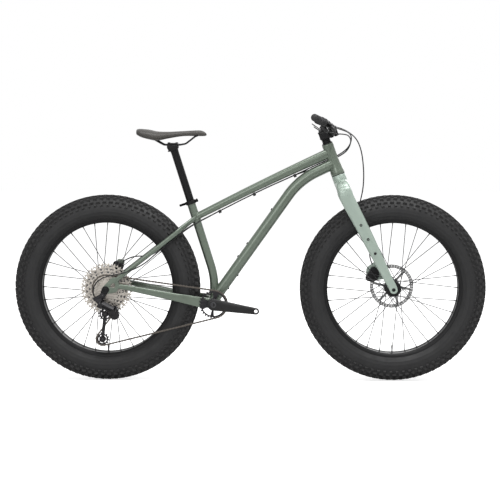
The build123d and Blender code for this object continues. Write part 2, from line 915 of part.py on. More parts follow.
stem_half = 22.0
clamp_half = 27.0
with BuildPart() as stem:
    with BuildSketch(steer_side.offset(-stem_half)):
        with BuildLine():
            Polyline(
                (-21, stem_bottom),
                (20, stem_bottom),
                (stem_length - 4, stem_middle - 21),
                (stem_length - 0.6, stem_middle - 21),
                (stem_length - 0.6, stem_middle + 21),
                (stem_length - 4, stem_middle + 21),
                (14, stem_bottom + stem_height),
                (-21, stem_bottom + stem_height),
                close=True,
            )
        make_face()
    extrude(amount=2 * stem_half)
    with BuildSketch(steer_side.offset(-clamp_half)):
        with Locations((stem_length - 7.6, stem_middle)):
            Rectangle(14, 42)
        with Locations((stem_length + 10.6, stem_middle)):
            Rectangle(20, 42)
    extrude(amount=2 * clamp_half)
    with BuildSketch(across_steerer(stem_bottom)):
        RegularPolygon(steerer_radius + fit, 16, major_radius=False)
    extrude(amount=stem_height, mode=Mode.SUBTRACT)
    with BuildSketch(steer_side.offset(-clamp_half)):
        with Locations((stem_length, stem_middle)):
            RegularPolygon(bar_clamp_radius + fit, 16, major_radius=False)
    extrude(amount=2 * clamp_half, mode=Mode.SUBTRACT)
    with BuildSketch(across_steerer(stem_bottom + stem_height + gap)):
        RegularPolygon(17.5, 16)
    extrude(amount=4)
stem.part.label = "stem"
export_step(stem.part, "parts/stem.step")

bar_middle = on_steerer(stem_middle, stem_length)
bar_bend = bar_middle + Vector(-8, bar_bend_y, bar_rise)
bar_tip = bar_middle + Vector(-bar_end_setback, bar_width / 2 - 2, bar_end_lift)


def flip(point, hand):
    """The same point on the side named by hand: 1 left, -1 right."""
    return Vector(point.X, hand * point.Y, point.Z)


def tube_through(stations, x_dir, sides=12):
    """A tube through (point, radius) stations, mitred at each."""
    points = [point for point, radius in stations]
    with BuildPart() as tube:
        for k, (point, radius) in enumerate(stations):
            before = points[max(k - 1, 0)]
            after = points[min(k + 1, len(points) - 1)]
            with BuildSketch(Plane(origin=point, x_dir=x_dir, z_dir=after - before)):
                RegularPolygon(radius, sides)
        loft(ruled=True)
    return tube.part


bar_half = [
    (bar_middle + Vector(0, clamp_half + 3, 0), bar_clamp_radius),
    (bar_middle + (bar_bend - bar_middle) * 0.62 + Vector(2, 0, -3), 13.4),
    (bar_bend, bar_radius),
    (bar_tip, bar_radius),
]
with BuildPart() as handlebar:
    stations = [(flip(point, -1), radius) for point, radius in reversed(bar_half)] + bar_half
    add(tube_through(stations, (1, 0, 0)))
handlebar.part.label = "handlebar"
export_step(handlebar.part, "parts/handlebar.step")

bar_run = (bar_tip - bar_bend).normalized()
with BuildPart() as grips:
    for hand in (1, -1):
        out = flip(bar_run, hand)
        tip = flip(bar_tip, hand)
        start = tip - out * grip_length
        add(sleeve(start, tip + out * fit, grip_radius, bar_radius + fit))
        add(shaft(tip + out * fit, tip + out * 4, grip_radius, 16))
        add(sleeve(start - out * 9, start, grip_radius + 1.5, bar_radius + fit))
grips.part.label = "grips"
export_step(grips.part, "parts/grips.step")


def control_plane(hand, reach_y, tilt):
    """A plane on the bar: local x outboard along it, local y forward and down by the tilt."""
    share = (reach_y - bar_bend.Y) / (bar_tip.Y - bar_bend.Y)
    spot = flip(bar_bend + (bar_tip - bar_bend) * share, hand)
    out = flip(bar_run, hand)
    ahead = Vector(cos(radians(tilt)), 0, -sin(radians(tilt)))
    ahead = (ahead - out * ahead.dot(out)).normalized()
    return Plane(origin=spot, x_dir=out, z_dir=out.cross(ahead))


lever_body_outline = ((-7, 8), (8, 8), (13, 26), (15, 46), (-3, 50), (-32, 38), (-36, 24), (-31, 13))
lever_blade_outline = (
    (0, 38),
    (6, 33),
    (14, 34),
    (30, 46),
    (62, 44),
    (102, 47),
    (114, 56),
    (108, 60),
    (98, 54),
    (62, 51),
    (28, 54),
    (6, 46),
    (0, 44),
)
lever_planes = {hand: control_plane(hand, lever_clamp_y, lever_tilt) for hand in (1, -1)}
with BuildPart() as brake_lever_bodies:
    for hand in (1, -1):
        plane = lever_planes[hand]
        ends = [plane.from_local_coords(Vector(u, 0, 0)) for u in (-7, 7)]
        add(sleeve(ends[0], ends[1], 15.5, bar_radius + fit))
        with BuildSketch(plane.offset(-lever_body_half)):
            with BuildLine():
                Polyline(*lever_body_outline, close=True)
            make_face()
        extrude(amount=2 * lever_body_half)
        with BuildSketch(plane.offset(-lever_slot_half)):
            with BuildLine():
                Polyline((-5, 30), (20, 30), (20, 60), (-12, 60), (-12, 46), close=True)
            make_face()
        extrude(amount=2 * lever_slot_half, mode=Mode.SUBTRACT)
        with BuildSketch(plane.offset(-lever_body_half)):
            with Locations(lever_pivot):
                RegularPolygon(lever_pin_radius, 12)
        extrude(amount=2 * lever_body_half)
        with BuildSketch(Plane(origin=ends[0], z_dir=ends[1] - ends[0])):
            RegularPolygon(bar_radius + fit, 16, major_radius=False)
        extrude(amount=40, both=True, mode=Mode.SUBTRACT)
brake_lever_bodies.part.label = "brake_lever_bodies"
export_step(brake_lever_bodies.part, "parts/brake_lever_bodies.step")

for name, hand in (("left", 1), ("right", -1)):
    with BuildPart() as brake_lever:
        with BuildSketch(lever_planes[hand].offset(-lever_blade_half)):
            with BuildLine():
                Polyline(*lever_blade_outline, close=True)
            make_face()
            with Locations(lever_pivot):
                RegularPolygon(lever_pin_radius + fit, 12, major_radius=False, mode=Mode.SUBTRACT)
        extrude(amount=2 * lever_blade_half)
    brake_lever.part.label = f"brake_lever_{name}"
    export_step(brake_lever.part, f"parts/brake_lever_{name}.step")

# Shifter on the drive side: a clamp, a flat housing under the bar and two stacked paddles.
shift_plane = control_plane(-1, shifter_clamp_y, shifter_tilt)
with BuildPart() as shifter_body:
    ends = [shift_plane.from_local_coords(Vector(u, 0, 0)) for u in (-5, 5)]
    add(sleeve(ends[0], ends[1], 15.0, bar_radius + fit))
    with BuildSketch(shift_plane.offset(-shifter_top)):
        with BuildLine():
            Polyline((-6, -9), (6, -9), (6, 9), (-6, 9), close=True)
        make_face()
    extrude(amount=-6, dir=shift_plane.z_dir * -1)
    with BuildSketch(shift_plane.offset(-shifter_top)):
        with BuildLine():
            Polyline((-22, -14), (10, -16), (18, -4), (18, 14), (6, 24), (-20, 20), close=True)
        make_face()
    extrude(amount=-shifter_depth)
    with BuildSketch(Plane(origin=ends[0], z_dir=ends[1] - ends[0])):
        RegularPolygon(bar_radius + fit, 16, major_radius=False)
    extrude(amount=30, both=True, mode=Mode.SUBTRACT)
    with BuildSketch(shift_plane.offset(-shifter_top - shifter_depth)):
        RegularPolygon(shift_pin_radius, 12)
    extrude(amount=-shifter_pin_length)
    with BuildSketch(shift_plane.offset(-shifter_top - shifter_depth - shifter_pin_length)):
        RegularPolygon(shift_pin_radius + 2.5, 12)
    extrude(amount=-2)
shifter_body.part.label = "shifter_body"
export_step(shifter_body.part, "parts/shifter_body.step")

for name, low, reach, turn in (("up", 1.0, 44, -62), ("down", 6.0, 36, -38)):
    with BuildPart() as shift_lever:
        with BuildSketch(shift_plane.offset(-shifter_top - shifter_depth - low - 3.5)):
            RegularPolygon(9, 12)
            with BuildLine():
                Polyline(
                    *[
                        (x * cos(radians(turn)) - y * sin(radians(turn)),
                         x * sin(radians(turn)) + y * cos(radians(turn)))
                        for x, y in (
                            (0, -8),
                            (reach - 12, -7),
                            (reach, -13),
                            (reach + 6, -9),
                            (reach + 4, 9),
                            (reach - 10, 5),
                            (0, 8),
                        )
                    ],
                    close=True,
                )
            make_face()
            RegularPolygon(shift_pin_radius + fit, 12, major_radius=False, mode=Mode.SUBTRACT)
        extrude(amount=3.5)
    shift_lever.part.label = f"shift_lever_{name}"
    export_step(shift_lever.part, f"parts/shift_lever_{name}.step")

# ---------------------------------------------------------------- brakes
# Caliper outlines: place outward from the rotor's rim, then along it.
caliper_outline = ((-24, -12), (-24, 12), (-10, 27), (12, 34), (22, 25), (22, -25), (12, -34), (-10, -27))
short_outline = ((-24, -10), (-24, 12), (-10, 26), (12, 32), (22, 24), (22, -14), (-6, -16))
pad_outline = ((-18, -12), (-18, 12), (-2, 12), (-2, -12))


def build_brake(end, centre, rotor_y, rotor_radius, turn, outline, faces, foot):
    """A two-piston caliper astride its rotor and the pair of pads inside it."""
    left_y, right_y, mount_y = faces
    radial = Vector(cos(radians(turn)), 0, sin(radians(turn)))
    rim_point = centre + radial * rotor_radius

    def facing(y):
        return Plane(origin=rim_point + Vector(0, y, 0), x_dir=radial, z_dir=(0, -1, 0))

    with BuildPart() as caliper:
        with BuildSketch(facing(left_y)):
            with BuildLine():
                Polyline(*outline, close=True)
            make_face()
        extrude(amount=left_y - right_y)
        with BuildSketch(facing(mount_y)):
            with BuildLine():
                Polyline(*foot, close=True)
            make_face()
        extrude(amount=mount_y - left_y + 1)
        with BuildSketch(facing(right_y)):
            with Locations((-4, 0)):
                RegularPolygon(10, 12)
        extrude(amount=3)
        with BuildSketch(facing(rotor_y + caliper_slot_half)):
            with Locations((-11, 0)):
                Rectangle(28, 90)
        extrude(amount=2 * caliper_slot_half, mode=Mode.SUBTRACT)
    caliper.part.label = f"{end}_caliper"
    export_step(caliper.part, f"parts/{end}_caliper.step")

    rotor_half = rotor_thickness / 2
    for name, face in (
        ("outer", rotor_y + rotor_half + pad_gap + pad_thickness),
        ("inner", rotor_y - rotor_half - pad_gap),
    ):
        with BuildPart() as pad:
            with BuildSketch(facing(face)):
                with BuildLine():
                    Polyline(*pad_outline, close=True)
                make_face()
            extrude(amount=pad_thickness)
        pad.part.label = f"{end}_pad_{name}"
        export_step(pad.part, f"parts/{end}_pad_{name}.step")


build_brake(
    "front",
    front_axle_point,
    front_rotor_y,
    front_rotor_radius,
    front_caliper_turn,
    caliper_outline,
    (brake_mount_y, 44.0, brake_mount_y),
    ((-4, -30), (12, -34), (22, -25), (22, -12)),
)
build_brake(
    "rear",
    rear_axle_point,
    rear_rotor_y,
    rear_rotor_radius,
    rear_caliper_turn,
    short_outline,
    (95.4, 71.0, dropout_inner),
    ((4, -8), (22, -10), (22, 24), (12, 28)),
)

# ---------------------------------------------------------------- seat
with BuildPart() as seat_collar:
    add(sleeve(on_post(-10), on_post(5), seat_tube_radius + collar_wall, seat_tube_radius + fit))
    with BuildSketch(Plane(origin=on_post(-7), x_dir=seat_ahead, z_dir=seat_up)):
        with Locations((23, 4.6), (23, -4.6)):
            Rectangle(16, 6.4)
        with Locations((18, 0)):
            Rectangle(2, 4)
        RegularPolygon(seat_tube_radius + fit, 16, major_radius=False, mode=Mode.SUBTRACT)
    extrude(amount=9)
    add(shaft(on_post(-2.5, 26, 7.6), on_post(-2.5, 26, -13), 2.5))
    with BuildSketch(Plane(origin=on_post(-9), x_dir=seat_ahead, z_dir=seat_up)):
        with Locations((26, 11)):
            Rectangle(8, 12)
    extrude(amount=1.4)
    add(shaft(on_post(-2.5, 26, -8.5), on_post(-2.5, 26, -13), 6.0))
    with BuildSketch(Plane(origin=on_post(-9, 26, 13), x_dir=seat_ahead, z_dir=seat_up)):
        RegularPolygon(quick_pin_radius, 12)
    extrude(amount=14)
seat_collar.part.label = "seat_collar"
export_step(seat_collar.part, "parts/seat_collar.step")

with BuildPart() as qr_lever:
    with BuildSketch(Plane(origin=on_post(-7.5, 26, 13), x_dir=seat_ahead, z_dir=seat_up)):
        with BuildLine():
            Polyline(
                (4.5, -1.8),
                (3.5, 3.5),
                (-4, 13),
                (-26, 16),
                (-48, 12),
                (-76, -4),
                (-74, -8),
                (-48, 5),
                (-26, 10.5),
                (-8, 8),
                (-4.5, -1.8),
                (-2, -4.5),
                (2, -4.5),
                close=True,
            )
        make_face()
        RegularPolygon(quick_pin_radius + fit, 12, major_radius=False, mode=Mode.SUBTRACT)
    extrude(amount=10)
qr_lever.part.label = "qr_lever"
export_step(qr_lever.part, "parts/qr_lever.step")

saddle_stations = (
    (-461, 46, 1028, 1012),
    (-446, 66, 1031, 1000),
    (-410, 71, 1027, 988),
    (-376, 65, 1020, 983),
    (-330, 42, 1019, 992),
    (-270, 24, 1022, 1001),
    (-212, 20, 1025, 1001),
    (-186, 17, 1019, 1001),
    (-177.5, 12, 1011, 1002),
)
with BuildPart() as saddle:
    for x, half, top, bottom in saddle_stations:
        with BuildSketch(Plane(origin=(x, 0, 0), x_dir=(0, 1, 0), z_dir=(1, 0, 0))):
            with BuildLine():
                Polyline(
                    (-half + 3, bottom),
                    (half - 3, bottom),
                    (half, bottom + 3),
                    (half, top - 5),
                    (half - 8, top),
                    (-half + 8, top),
                    (-half, top - 5),
                    (-half, bottom + 3),
                    close=True,
                )
            make_face()
    loft(ruled=True)
saddle.part.label = "saddle"
export_step(saddle.part, "parts/saddle.step")

rail_low = post_head.Z + rail_seat
with BuildPart() as saddle_rails:
    for hand in (1, -1):
        route = [
            (-218, hand * 15, 1004),
            (-262, hand * (saddle_rail_spread - 1), rail_low + 4),
            (-284, hand * saddle_rail_spread, rail_low),
            (-350, hand * saddle_rail_spread, rail_low),
            (-402, hand * 34, 996),
        ]
        with BuildLine() as rail_line:
            Polyline(*route)
        with BuildSketch(Plane(origin=route[0], z_dir=rail_line.line % 0)):
            RegularPolygon(saddle_rail_radius, 8)
        sweep(path=rail_line.line, transition=Transition.RIGHT)
    add(saddle.part, mode=Mode.SUBTRACT)
saddle_rails.part.label = "saddle_rails"
export_step(saddle_rails.part, "parts/saddle_rails.step")

with BuildPart() as seatpost:
    with BuildSketch(Plane(origin=on_post(post_exposed - post_length), z_dir=seat_up)):
        RegularPolygon(post_radius, 16)
    extrude(amount=post_length)
    with BuildSketch(side(28, post_head.X, post_head.Z)):
        with BuildLine():
            Polyline(
                (-24, -4), (-20, -12), (-8, -18), (14, -14), (22, -6), (22, rail_seat), (-24, rail_seat),
                close=True,
            )
        make_face()
    extrude(amount=56)
    with BuildSketch(side(28, post_head.X, post_head.Z)):
        with BuildLine():
            Polyline((-24, rail_seat), (22, rail_seat), (20, rail_seat + 7), (-22, rail_seat + 7), close=True)
        make_face()
    extrude(amount=56)
    for x in (-17, 15):
        add(shaft(post_head + Vector(x, 0, -20), post_head + Vector(x, 0, rail_seat + 9), 3.2, 6))
    for y in (saddle_rail_spread, -saddle_rail_spread):
        with BuildSketch(Plane(origin=(post_head.X - 40, y, rail_low), x_dir=(0, 1, 0), z_dir=(1, 0, 0))):
            RegularPolygon(saddle_rail_radius + fit, 8, major_radius=False)
        extrude(amount=80, mode=Mode.SUBTRACT)
    add(saddle_rails.part, mode=Mode.SUBTRACT)
seatpost.part.label = "seatpost"
export_step(seatpost.part, "parts/seatpost.step")

# ---------------------------------------------------------------- drivetrain
# The chain's circles in its order of travel: cog, chainring, tension pulley, guide pulley.
def pitch_radius(teeth):
    return chain_pitch / (2 * sin(pi / teeth))


def chain_route(cage_turn):
    """Arcs and runs of the chain as (place of each tangent, links so far), for a cage angle."""
    guide = cage_pivot_point + Vector(*guide_offset).rotate(Axis.Y, -cage_turn)
    tension = cage_pivot_point + Vector(*tension_offset).rotate(Axis.Y, -cage_turn)
    circles = (
        (rear_axle_point, engaged_cog_teeth, 1),
        (bb_point, ring_teeth, 1),
        (tension, pulley_teeth, 1),
        (guide, pulley_teeth, -1),
    )
    headings = []
    for k, (centre, teeth, sense) in enumerate(circles):
        next_centre, next_teeth, next_sense = circles[(k + 1) % 4]
        run = next_centre - centre
        flat = hypot(run.X, run.Z)
        difference = sense * pitch_radius(teeth) - next_sense * pitch_radius(next_teeth)
        headings.append((atan2(run.Z, run.X) - asin(difference / flat), flat, difference))
    pieces = []
    links = 0.0
    for k, (centre, teeth, sense) in enumerate(circles):
        arriving = headings[k - 1][0]
        leaving, flat, difference = headings[k]
        turned = (sense * (arriving - leaving)) % (2 * pi)
        start = arriving + sense * pi / 2
        pieces.append(("arc", centre, teeth, sense, start, links))
        links += turned * teeth / (2 * pi)
        end = leaving + sense * pi / 2
        begin = centre + Vector(cos(end), 0, sin(end)) * pitch_radius(teeth)
        pieces.append(("run", begin, leaving, links))
        links += (flat**2 - difference**2) ** 0.5 / chain_pitch
    return pieces, links, guide, tension


def settle_cage():
    """The cage angle nearest its rest that closes the chain on an even number of links."""
    target = 2 * round(chain_route(0)[1] / 2)
    low, high = -12.0, 12.0
    if chain_route(low)[1] > chain_route(high)[1]:
        low, high = high, low
    for _ in range(40):
        middle = (low + high) / 2
        if chain_route(middle)[1] < target:
            low = middle
        else:
            high = middle
    return middle, target


cage_turn, link_count = settle_cage()
chain_pieces, chain_length, guide_point, tension_point = chain_route(cage_turn)
print("links", link_count, "cage turned", round(cage_turn, 3), "length", round(chain_length, 5))


def pin_place(count):
    """The pin this many links along the chain, in the chain's middle plane."""
    piece = [entry for entry in chain_pieces if entry[-1] <= count + 1e-9][-1]
    if piece[0] == "run":
        name, begin, heading, links = piece
        along = (count - links) * chain_pitch
        place = begin + Vector(cos(heading), 0, sin(heading)) * along
    else:
        name, centre, teeth, sense, start, links = piece
        turn = start - sense * (count - links) * 2 * pi / teeth
        place = centre + Vector(cos(turn), 0, sin(turn)) * pitch_radius(teeth)
    return Vector(place.X, chain_y, place.Z)


def tooth_phase(order):
    """The angle of one tooth of the sprocket at this place in the chain's order."""
    name, centre, teeth, sense, start, links = chain_pieces[2 * order]
    return start - sense * (0.5 - links) * 2 * pi / teeth


def chain_teeth(teeth, phase, base=tooth_base_width):
    """Outline of a sprocket whose four-cornered teeth fit between the chain's rollers."""
    middle = pitch_radius(teeth) * cos(pi / teeth)
    outline = []
    for k in range(teeth):
        turn = phase + 2 * pi * k / teeth
        for radius, beside in (
            (middle - tooth_root, -base / 2),
            (middle + tooth_height, -tooth_tip_width / 2),
            (middle + tooth_height, tooth_tip_width / 2),
            (middle - tooth_root, base / 2),
        ):
            outline.append(
                (radius * cos(turn) - beside * sin(turn), radius * sin(turn) + beside * cos(turn))
            )
    return outline


def plain_teeth(teeth):
    """Outline of a cog the chain isn't on: one point and one root for each tooth."""
    outline = []
    for k in range(teeth):
        for turn, radius in ((0.0, tooth_height), (0.5, -tooth_root)):
            angle = 2 * pi * (k + turn) / teeth
            reach = pitch_radius(teeth) + radius
            outline.append((reach * cos(angle), reach * sin(angle)))
    return outline


def link_plane(k, lift):
    """A plane along link k, square to it, below the pins by half a plate's height."""
    before = pin_place(k)
    after = pin_place((k + 1) % link_count)
    along = (after - before).normalized()
    up = Vector(-along.Z, 0, along.X)
    return Plane(origin=(before + after) / 2 - up * lift, x_dir=along, z_dir=up)


with BuildPart() as chain:
    with BuildSketch(*[link_plane(k, plate_height / 2) for k in range(0, link_count, 2)]):
        Rectangle(inner_link_length, 2 * (chain_half_window + plate_thickness))
        Rectangle(link_window, 2 * chain_half_window, mode=Mode.SUBTRACT)
    extrude(amount=plate_height)
    outer_y = chain_half_window + plate_thickness * 1.5 + plate_gap
    with BuildSketch(*[link_plane(k, plate_height / 2) for k in range(1, link_count, 2)]):
        with Locations((0, outer_y), (0, -outer_y)):
            Rectangle(outer_link_length, plate_thickness)
    extrude(amount=plate_height)
chain.part.label = "chain"
export_step(chain.part, "parts/chain.step")

cog_first_y = chain_y + cog_teeth.index(engaged_cog_teeth) * cog_pitch
with BuildPart() as cassette:
    for k, teeth in enumerate(cog_teeth):
        cog_y = cog_first_y - k * cog_pitch
        with BuildSketch(side(cog_y + cog_thickness / 2, rear_x, axle_z)):
            with BuildLine():
                if teeth == engaged_cog_teeth:
                    Polyline(*chain_teeth(teeth, tooth_phase(0)), close=True)
                else:
                    Polyline(*plain_teeth(teeth), close=True)
            make_face()
            if teeth == cog_teeth[0]:
                RegularPolygon(pitch_radius(teeth) - 13, 12, mode=Mode.SUBTRACT)
                Rectangle(1.9 * pitch_radius(teeth) - 14, 8)
                Rectangle(8, 1.9 * pitch_radius(teeth) - 14)
        extrude(amount=cog_thickness)
    with BuildSketch(side(cassette_inner_y - gap, rear_x, axle_z)):
        RegularPolygon(cassette_core_radius, 12)
    extrude(amount=cog_first_y - 9.5 * cog_pitch - cassette_inner_y + gap, both=False, dir=(0, 1, 0))
    with BuildSketch(side(cassette_inner_y - gap, rear_x, axle_z)):
        RegularPolygon(cassette_end_radius, 12)
    extrude(amount=dropout_inner + cassette_inner_y - 2 * gap)
    with BuildSketch(side(0, rear_x, axle_z)):
        RegularPolygon(axle_radius + hub_clearance, 16, major_radius=False)
    extrude(amount=120, mode=Mode.SUBTRACT)
cassette.part.label = "cassette"
export_step(cassette.part, "parts/cassette.step")

crank_dir = Vector(cos(radians(crank_angle)), 0, sin(radians(crank_angle)))
arm_plan = ((-25, 79), (30, 80), (189, 97), (189, 110), (110, 107), (30, 97), (-25, 95))
for name, hand in (("right", -1), ("left", 1)):
    arm_dir = crank_dir * -hand
    with BuildPart() as crank_arm:
        with BuildSketch(Plane(origin=bb_point, x_dir=arm_dir, z_dir=(0, hand, 0))):
            RegularPolygon(crank_boss_radius, 16)
            with Locations((crank_length, 0)):
                RegularPolygon(crank_end_radius, 16)
            make_hull()
        extrude(amount=120)
        arm_up = arm_dir.cross(Vector(0, hand, 0))
        with BuildSketch(Plane(origin=bb_point - arm_up * 60, x_dir=arm_dir, z_dir=arm_up)):
            with BuildLine():
                Polyline(*arm_plan, close=True)
            make_face()
        extrude(amount=120, mode=Mode.INTERSECT)
        with BuildSketch(Plane(origin=bb_point, x_dir=arm_dir, z_dir=(0, hand, 0))):
            with Locations((crank_length, 0)):
                Circle(pedal_thread_radius)
        extrude(amount=120, mode=Mode.SUBTRACT)
        if hand < 0:
            with BuildSketch(side(crank_inner_y, bb_x, bb_z)):
                RegularPolygon(spindle_radius, 16)
            extrude(amount=crank_inner_y + crank_outer_y)
            with BuildSketch(side(crank_inner_y + 8, bb_x, bb_z)):
                RegularPolygon(spindle_bore, 16)
            extrude(amount=crank_inner_y + crank_outer_y + 20, mode=Mode.SUBTRACT)
        else:
            with BuildSketch(side(crank_inner_y + 20, bb_x, bb_z)):
                RegularPolygon(spindle_bore, 16)
            extrude(amount=60, mode=Mode.SUBTRACT)
    crank_arm.part.label = f"crank_arm_{name}"
    export_step(crank_arm.part, f"parts/crank_arm_{name}.step")

ring_face = chain_y + ring_thickness / 2
with BuildPart() as chainring:
    with BuildSketch(side(ring_face, bb_x, bb_z)):
        with BuildLine():
            Polyline(*chain_teeth(ring_teeth, tooth_phase(1)), close=True)
        make_face()
        with PolarLocations(36, 4, start_angle=20):
            RegularPolygon(9.5, 6, mode=Mode.SUBTRACT)
    extrude(amount=ring_thickness)
    with BuildSketch(side(-ring_hub_inner, bb_x, bb_z)):
        RegularPolygon(spindle_radius + 7, 16)
    extrude(amount=crank_inner_y - ring_hub_inner)
    with BuildSketch(side(0, bb_x, bb_z)):
        RegularPolygon(spindle_radius + fit, 16, major_radius=False)
    extrude(amount=120, mode=Mode.SUBTRACT)
chainring.part.label = "chainring"
export_step(chainring.part, "parts/chainring.step")

# ---------------------------------------------------------------- derailleur
hinge = Vector(*hinge_direction).normalized()
link_dir = Vector(*link_direction).normalized()
swing_dir = hinge.cross(link_dir)
upper_pins = [upper_pin, upper_pin - swing_dir * link_spacing]
lower_pins = [pin + link_dir * link_length for pin in upper_pins]


def link_block(origin, reach, half_width, offset, depth):
    """A block square to the derailleur's hinges: along the links, across them, along the hinge."""
    with BuildPart() as block:
        with BuildSketch(Plane(origin=origin + hinge * offset, x_dir=link_dir, z_dir=hinge)):
            with BuildLine():
                Polyline(
                    (reach[0], -link_spacing - half_width),
                    (reach[1], -link_spacing - half_width),
                    (reach[1], half_width),
                    (reach[0], half_width),
                    close=True,
                )
            make_face()
        extrude(amount=depth)
    return block.part


def yoke(pins, reach):
    """Two ears and a spine that hold one end of both links, with their pins."""
    ear_start = link_half + 0.3
    near, far = reach
    spine = (far - 7, far) if far > -near else (near, near + 7)
    with BuildPart() as ears:
        for offset in (ear_start, -ear_start - ear_thickness):
            add(link_block(pins[0], reach, 6.0, offset, ear_thickness))
        full = 2 * (ear_start + ear_thickness)
        add(link_block(pins[0], spine, 6.0, -full / 2, full))
        for pin in pins:
            add(shaft(pin - hinge * ear_start, pin + hinge * ear_start, link_pin_radius))
    return ears.part


boss_outline = (
    (-590, 343),
    (-583, 354),
    (-588, 366),
    (-600, 368),
    (-612, 360),
    (-632, 350),
    (-632, 340),
    (-618, 330),
    (-612, 321),
    (-605, 333),
)
with BuildPart() as derailleur_knuckle_upper:
    add(yoke(upper_pins, (-14, 6)))
    add(prism(side(-hanger_outer - gap), boss_outline, 9))
    bolt_end = hanger_bolt - Vector(0, dropout_outer + gap, 0)
    add(shaft(bolt_end, hanger_bolt - Vector(0, hanger_outer + 12, 0), hanger_bolt_radius))
    add(
        shaft(
            hanger_bolt - Vector(0, hanger_outer + gap, 0),
            hanger_bolt - Vector(0, hanger_outer, 0),
            9.0,
        )
    )
derailleur_knuckle_upper.part.label = "derailleur_knuckle_upper"
export_step(derailleur_knuckle_upper.part, "parts/derailleur_knuckle_upper.step")

for name, start, end in (
    ("inner", upper_pins[0], lower_pins[0]),
    ("outer", upper_pins[1], lower_pins[1]),
):
    with BuildPart() as derailleur_link:
        with BuildSketch(Plane(origin=start - hinge * link_half, x_dir=link_dir, z_dir=hinge)):
            RegularPolygon(link_end_radius, 12)
            with Locations((link_length, 0)):
                RegularPolygon(link_end_radius, 12)
            make_hull()
            with Locations((0, 0), (link_length, 0)):
                RegularPolygon(link_pin_radius + fit, 12, major_radius=False, mode=Mode.SUBTRACT)
        extrude(amount=2 * link_half)
    derailleur_link.part.label = f"derailleur_link_{name}"
    export_step(derailleur_link.part, f"parts/derailleur_link_{name}.step")

web_outline = ((-560, 266), (-545, 260), (-532, 270), (-531, 300), (-539, 307), (-546, 290))
with BuildPart() as derailleur_knuckle_lower:
    add(yoke(lower_pins, (-6, 14)))
    pivot = cage_pivot_point
    add(shaft(pivot - Vector(0, clutch_inner, 0), pivot - Vector(0, clutch_outer, 0), 18.0, 16))
    add(prism(side(-clutch_outer + 4), web_outline, 14))
    with BuildSketch(side(-clutch_inner, pivot.X, pivot.Z)):
        RegularPolygon(cage_pin_radius + fit, 12, major_radius=False)
    extrude(amount=cage_pin_length + 1.5, mode=Mode.SUBTRACT)
derailleur_knuckle_lower.part.label = "derailleur_knuckle_lower"
export_step(derailleur_knuckle_lower.part, "parts/derailleur_knuckle_lower.step")

with BuildPart() as derailleur_cage:
    for face, centres in (
        (cage_outer_y, (pivot, guide_point, tension_point)),
        (cage_inner_y, (guide_point, tension_point)),
    ):
        with BuildSketch(side(face)):
            for first, second in zip(centres, centres[1:]):
                run = Vector(second.X - first.X, 0, second.Z - first.Z)
                across_run = Vector(-run.Z, 0, run.X).normalized() * cage_plate_half
                with BuildLine():
                    Polyline(
                        *[
                            (corner.X, corner.Z)
                            for corner in (
                                first + across_run,
                                second + across_run,
                                second - across_run,
                                first - across_run,
                            )
                        ],
                        close=True,
                    )
                make_face()
            for centre in centres:
                with Locations((centre.X, centre.Z)):
                    RegularPolygon(cage_plate_end, 12)
        extrude(amount=cage_plate)
    for centre in (guide_point, tension_point):
        add(
            shaft(
                centre + Vector(0, cage_inner_y, 0),
                centre + Vector(0, cage_outer_y - cage_plate, 0),
                pulley_bolt_radius,
            )
        )
    with BuildSketch(side(cage_outer_y, pivot.X, pivot.Z)):
        RegularPolygon(cage_pin_radius, 12)
    extrude(amount=clutch_inner + cage_outer_y + cage_pin_length)
derailleur_cage.part.label = "derailleur_cage"
export_step(derailleur_cage.part, "parts/derailleur_cage.step")

for name, centre, order in (("guide", guide_point, 3), ("tension", tension_point, 2)):
    with BuildPart() as pulley:
        with BuildSketch(side(chain_y + cog_thickness / 2, centre.X, centre.Z)):
            with BuildLine():
                Polyline(*chain_teeth(pulley_teeth, tooth_phase(order), pulley_tooth_base), close=True)
            make_face()
        extrude(amount=cog_thickness)
        with BuildSketch(side(chain_y + pulley_half, centre.X, centre.Z)):
            RegularPolygon(9.0, 12)
        extrude(amount=2 * pulley_half)
        with BuildSketch(side(0, centre.X, centre.Z)):
            RegularPolygon(pulley_bolt_radius + fit, 12, major_radius=False)
        extrude(amount=120, mode=Mode.SUBTRACT)
    pulley.part.label = f"{name}_pulley"
    export_step(pulley.part, f"parts/{name}_pulley.step")

# ---------------------------------------------------------------- hoses
front_hose_points = [
    (329, 202, 1045),
    (347, 153, 1037),
    (378, 105, 1030),
    (412, 78, 1012),
    (440, 66, 985),
    (457, 62, 940),
    (465, 64, 885),
    (468, 70, 828),
    (464, 80, 772),
    (452, 94, 722),
    (456, 107, 672),
    (474, 107, 620),
    (489, 105, 570),
    (496, 99, 526),
    (494, 84, 496),
    (504, 68, 471),
]
brake_loop_points = [
    (329, -202, 1045),
    (352, -154, 1035),
    (380, -108, 1026),
    (402, -62, 1016),
    (414, -18, 998),
    (410, 18, 968),
    (388, 36, 938),
    (347, 36, 915),
]
shift_loop_points = [
    (318, -168, 1021),
    (345, -140, 1013),
    (376, -104, 1012),
    (400, -58, 1006),
    (412, -12, 985),
    (406, 24, 955),
    (385, 42, 928),
    (345, 43, 908),
]
shared_run = [
    (128, 4.5, 818),
    (72, 4.5, 793),
    (16.4, 4.5, 766),
    (-40, 4.5, 738.5),
    (-92, 4.5, 711.5),
    (-140, 5, 687.5),
    (-180, 16, 666),
    (-215, 27, 649),
    (-252, 35, 626.5),
    (-292, 60, 597),
    (-338, 72, 561),
]
brake_frame_points = [
    (345, 36, 914),
    (300, 34, 896),
    (256, 27, 876),
    (215, 10, 857),
    (182.5, 5, 842.5),
    *shared_run,
    (-386, 73, 521),
    (-424, 71, 501),
    (-462, 74, 503),
    (-500, 80, 497),
    (-529, 83, 480),
]
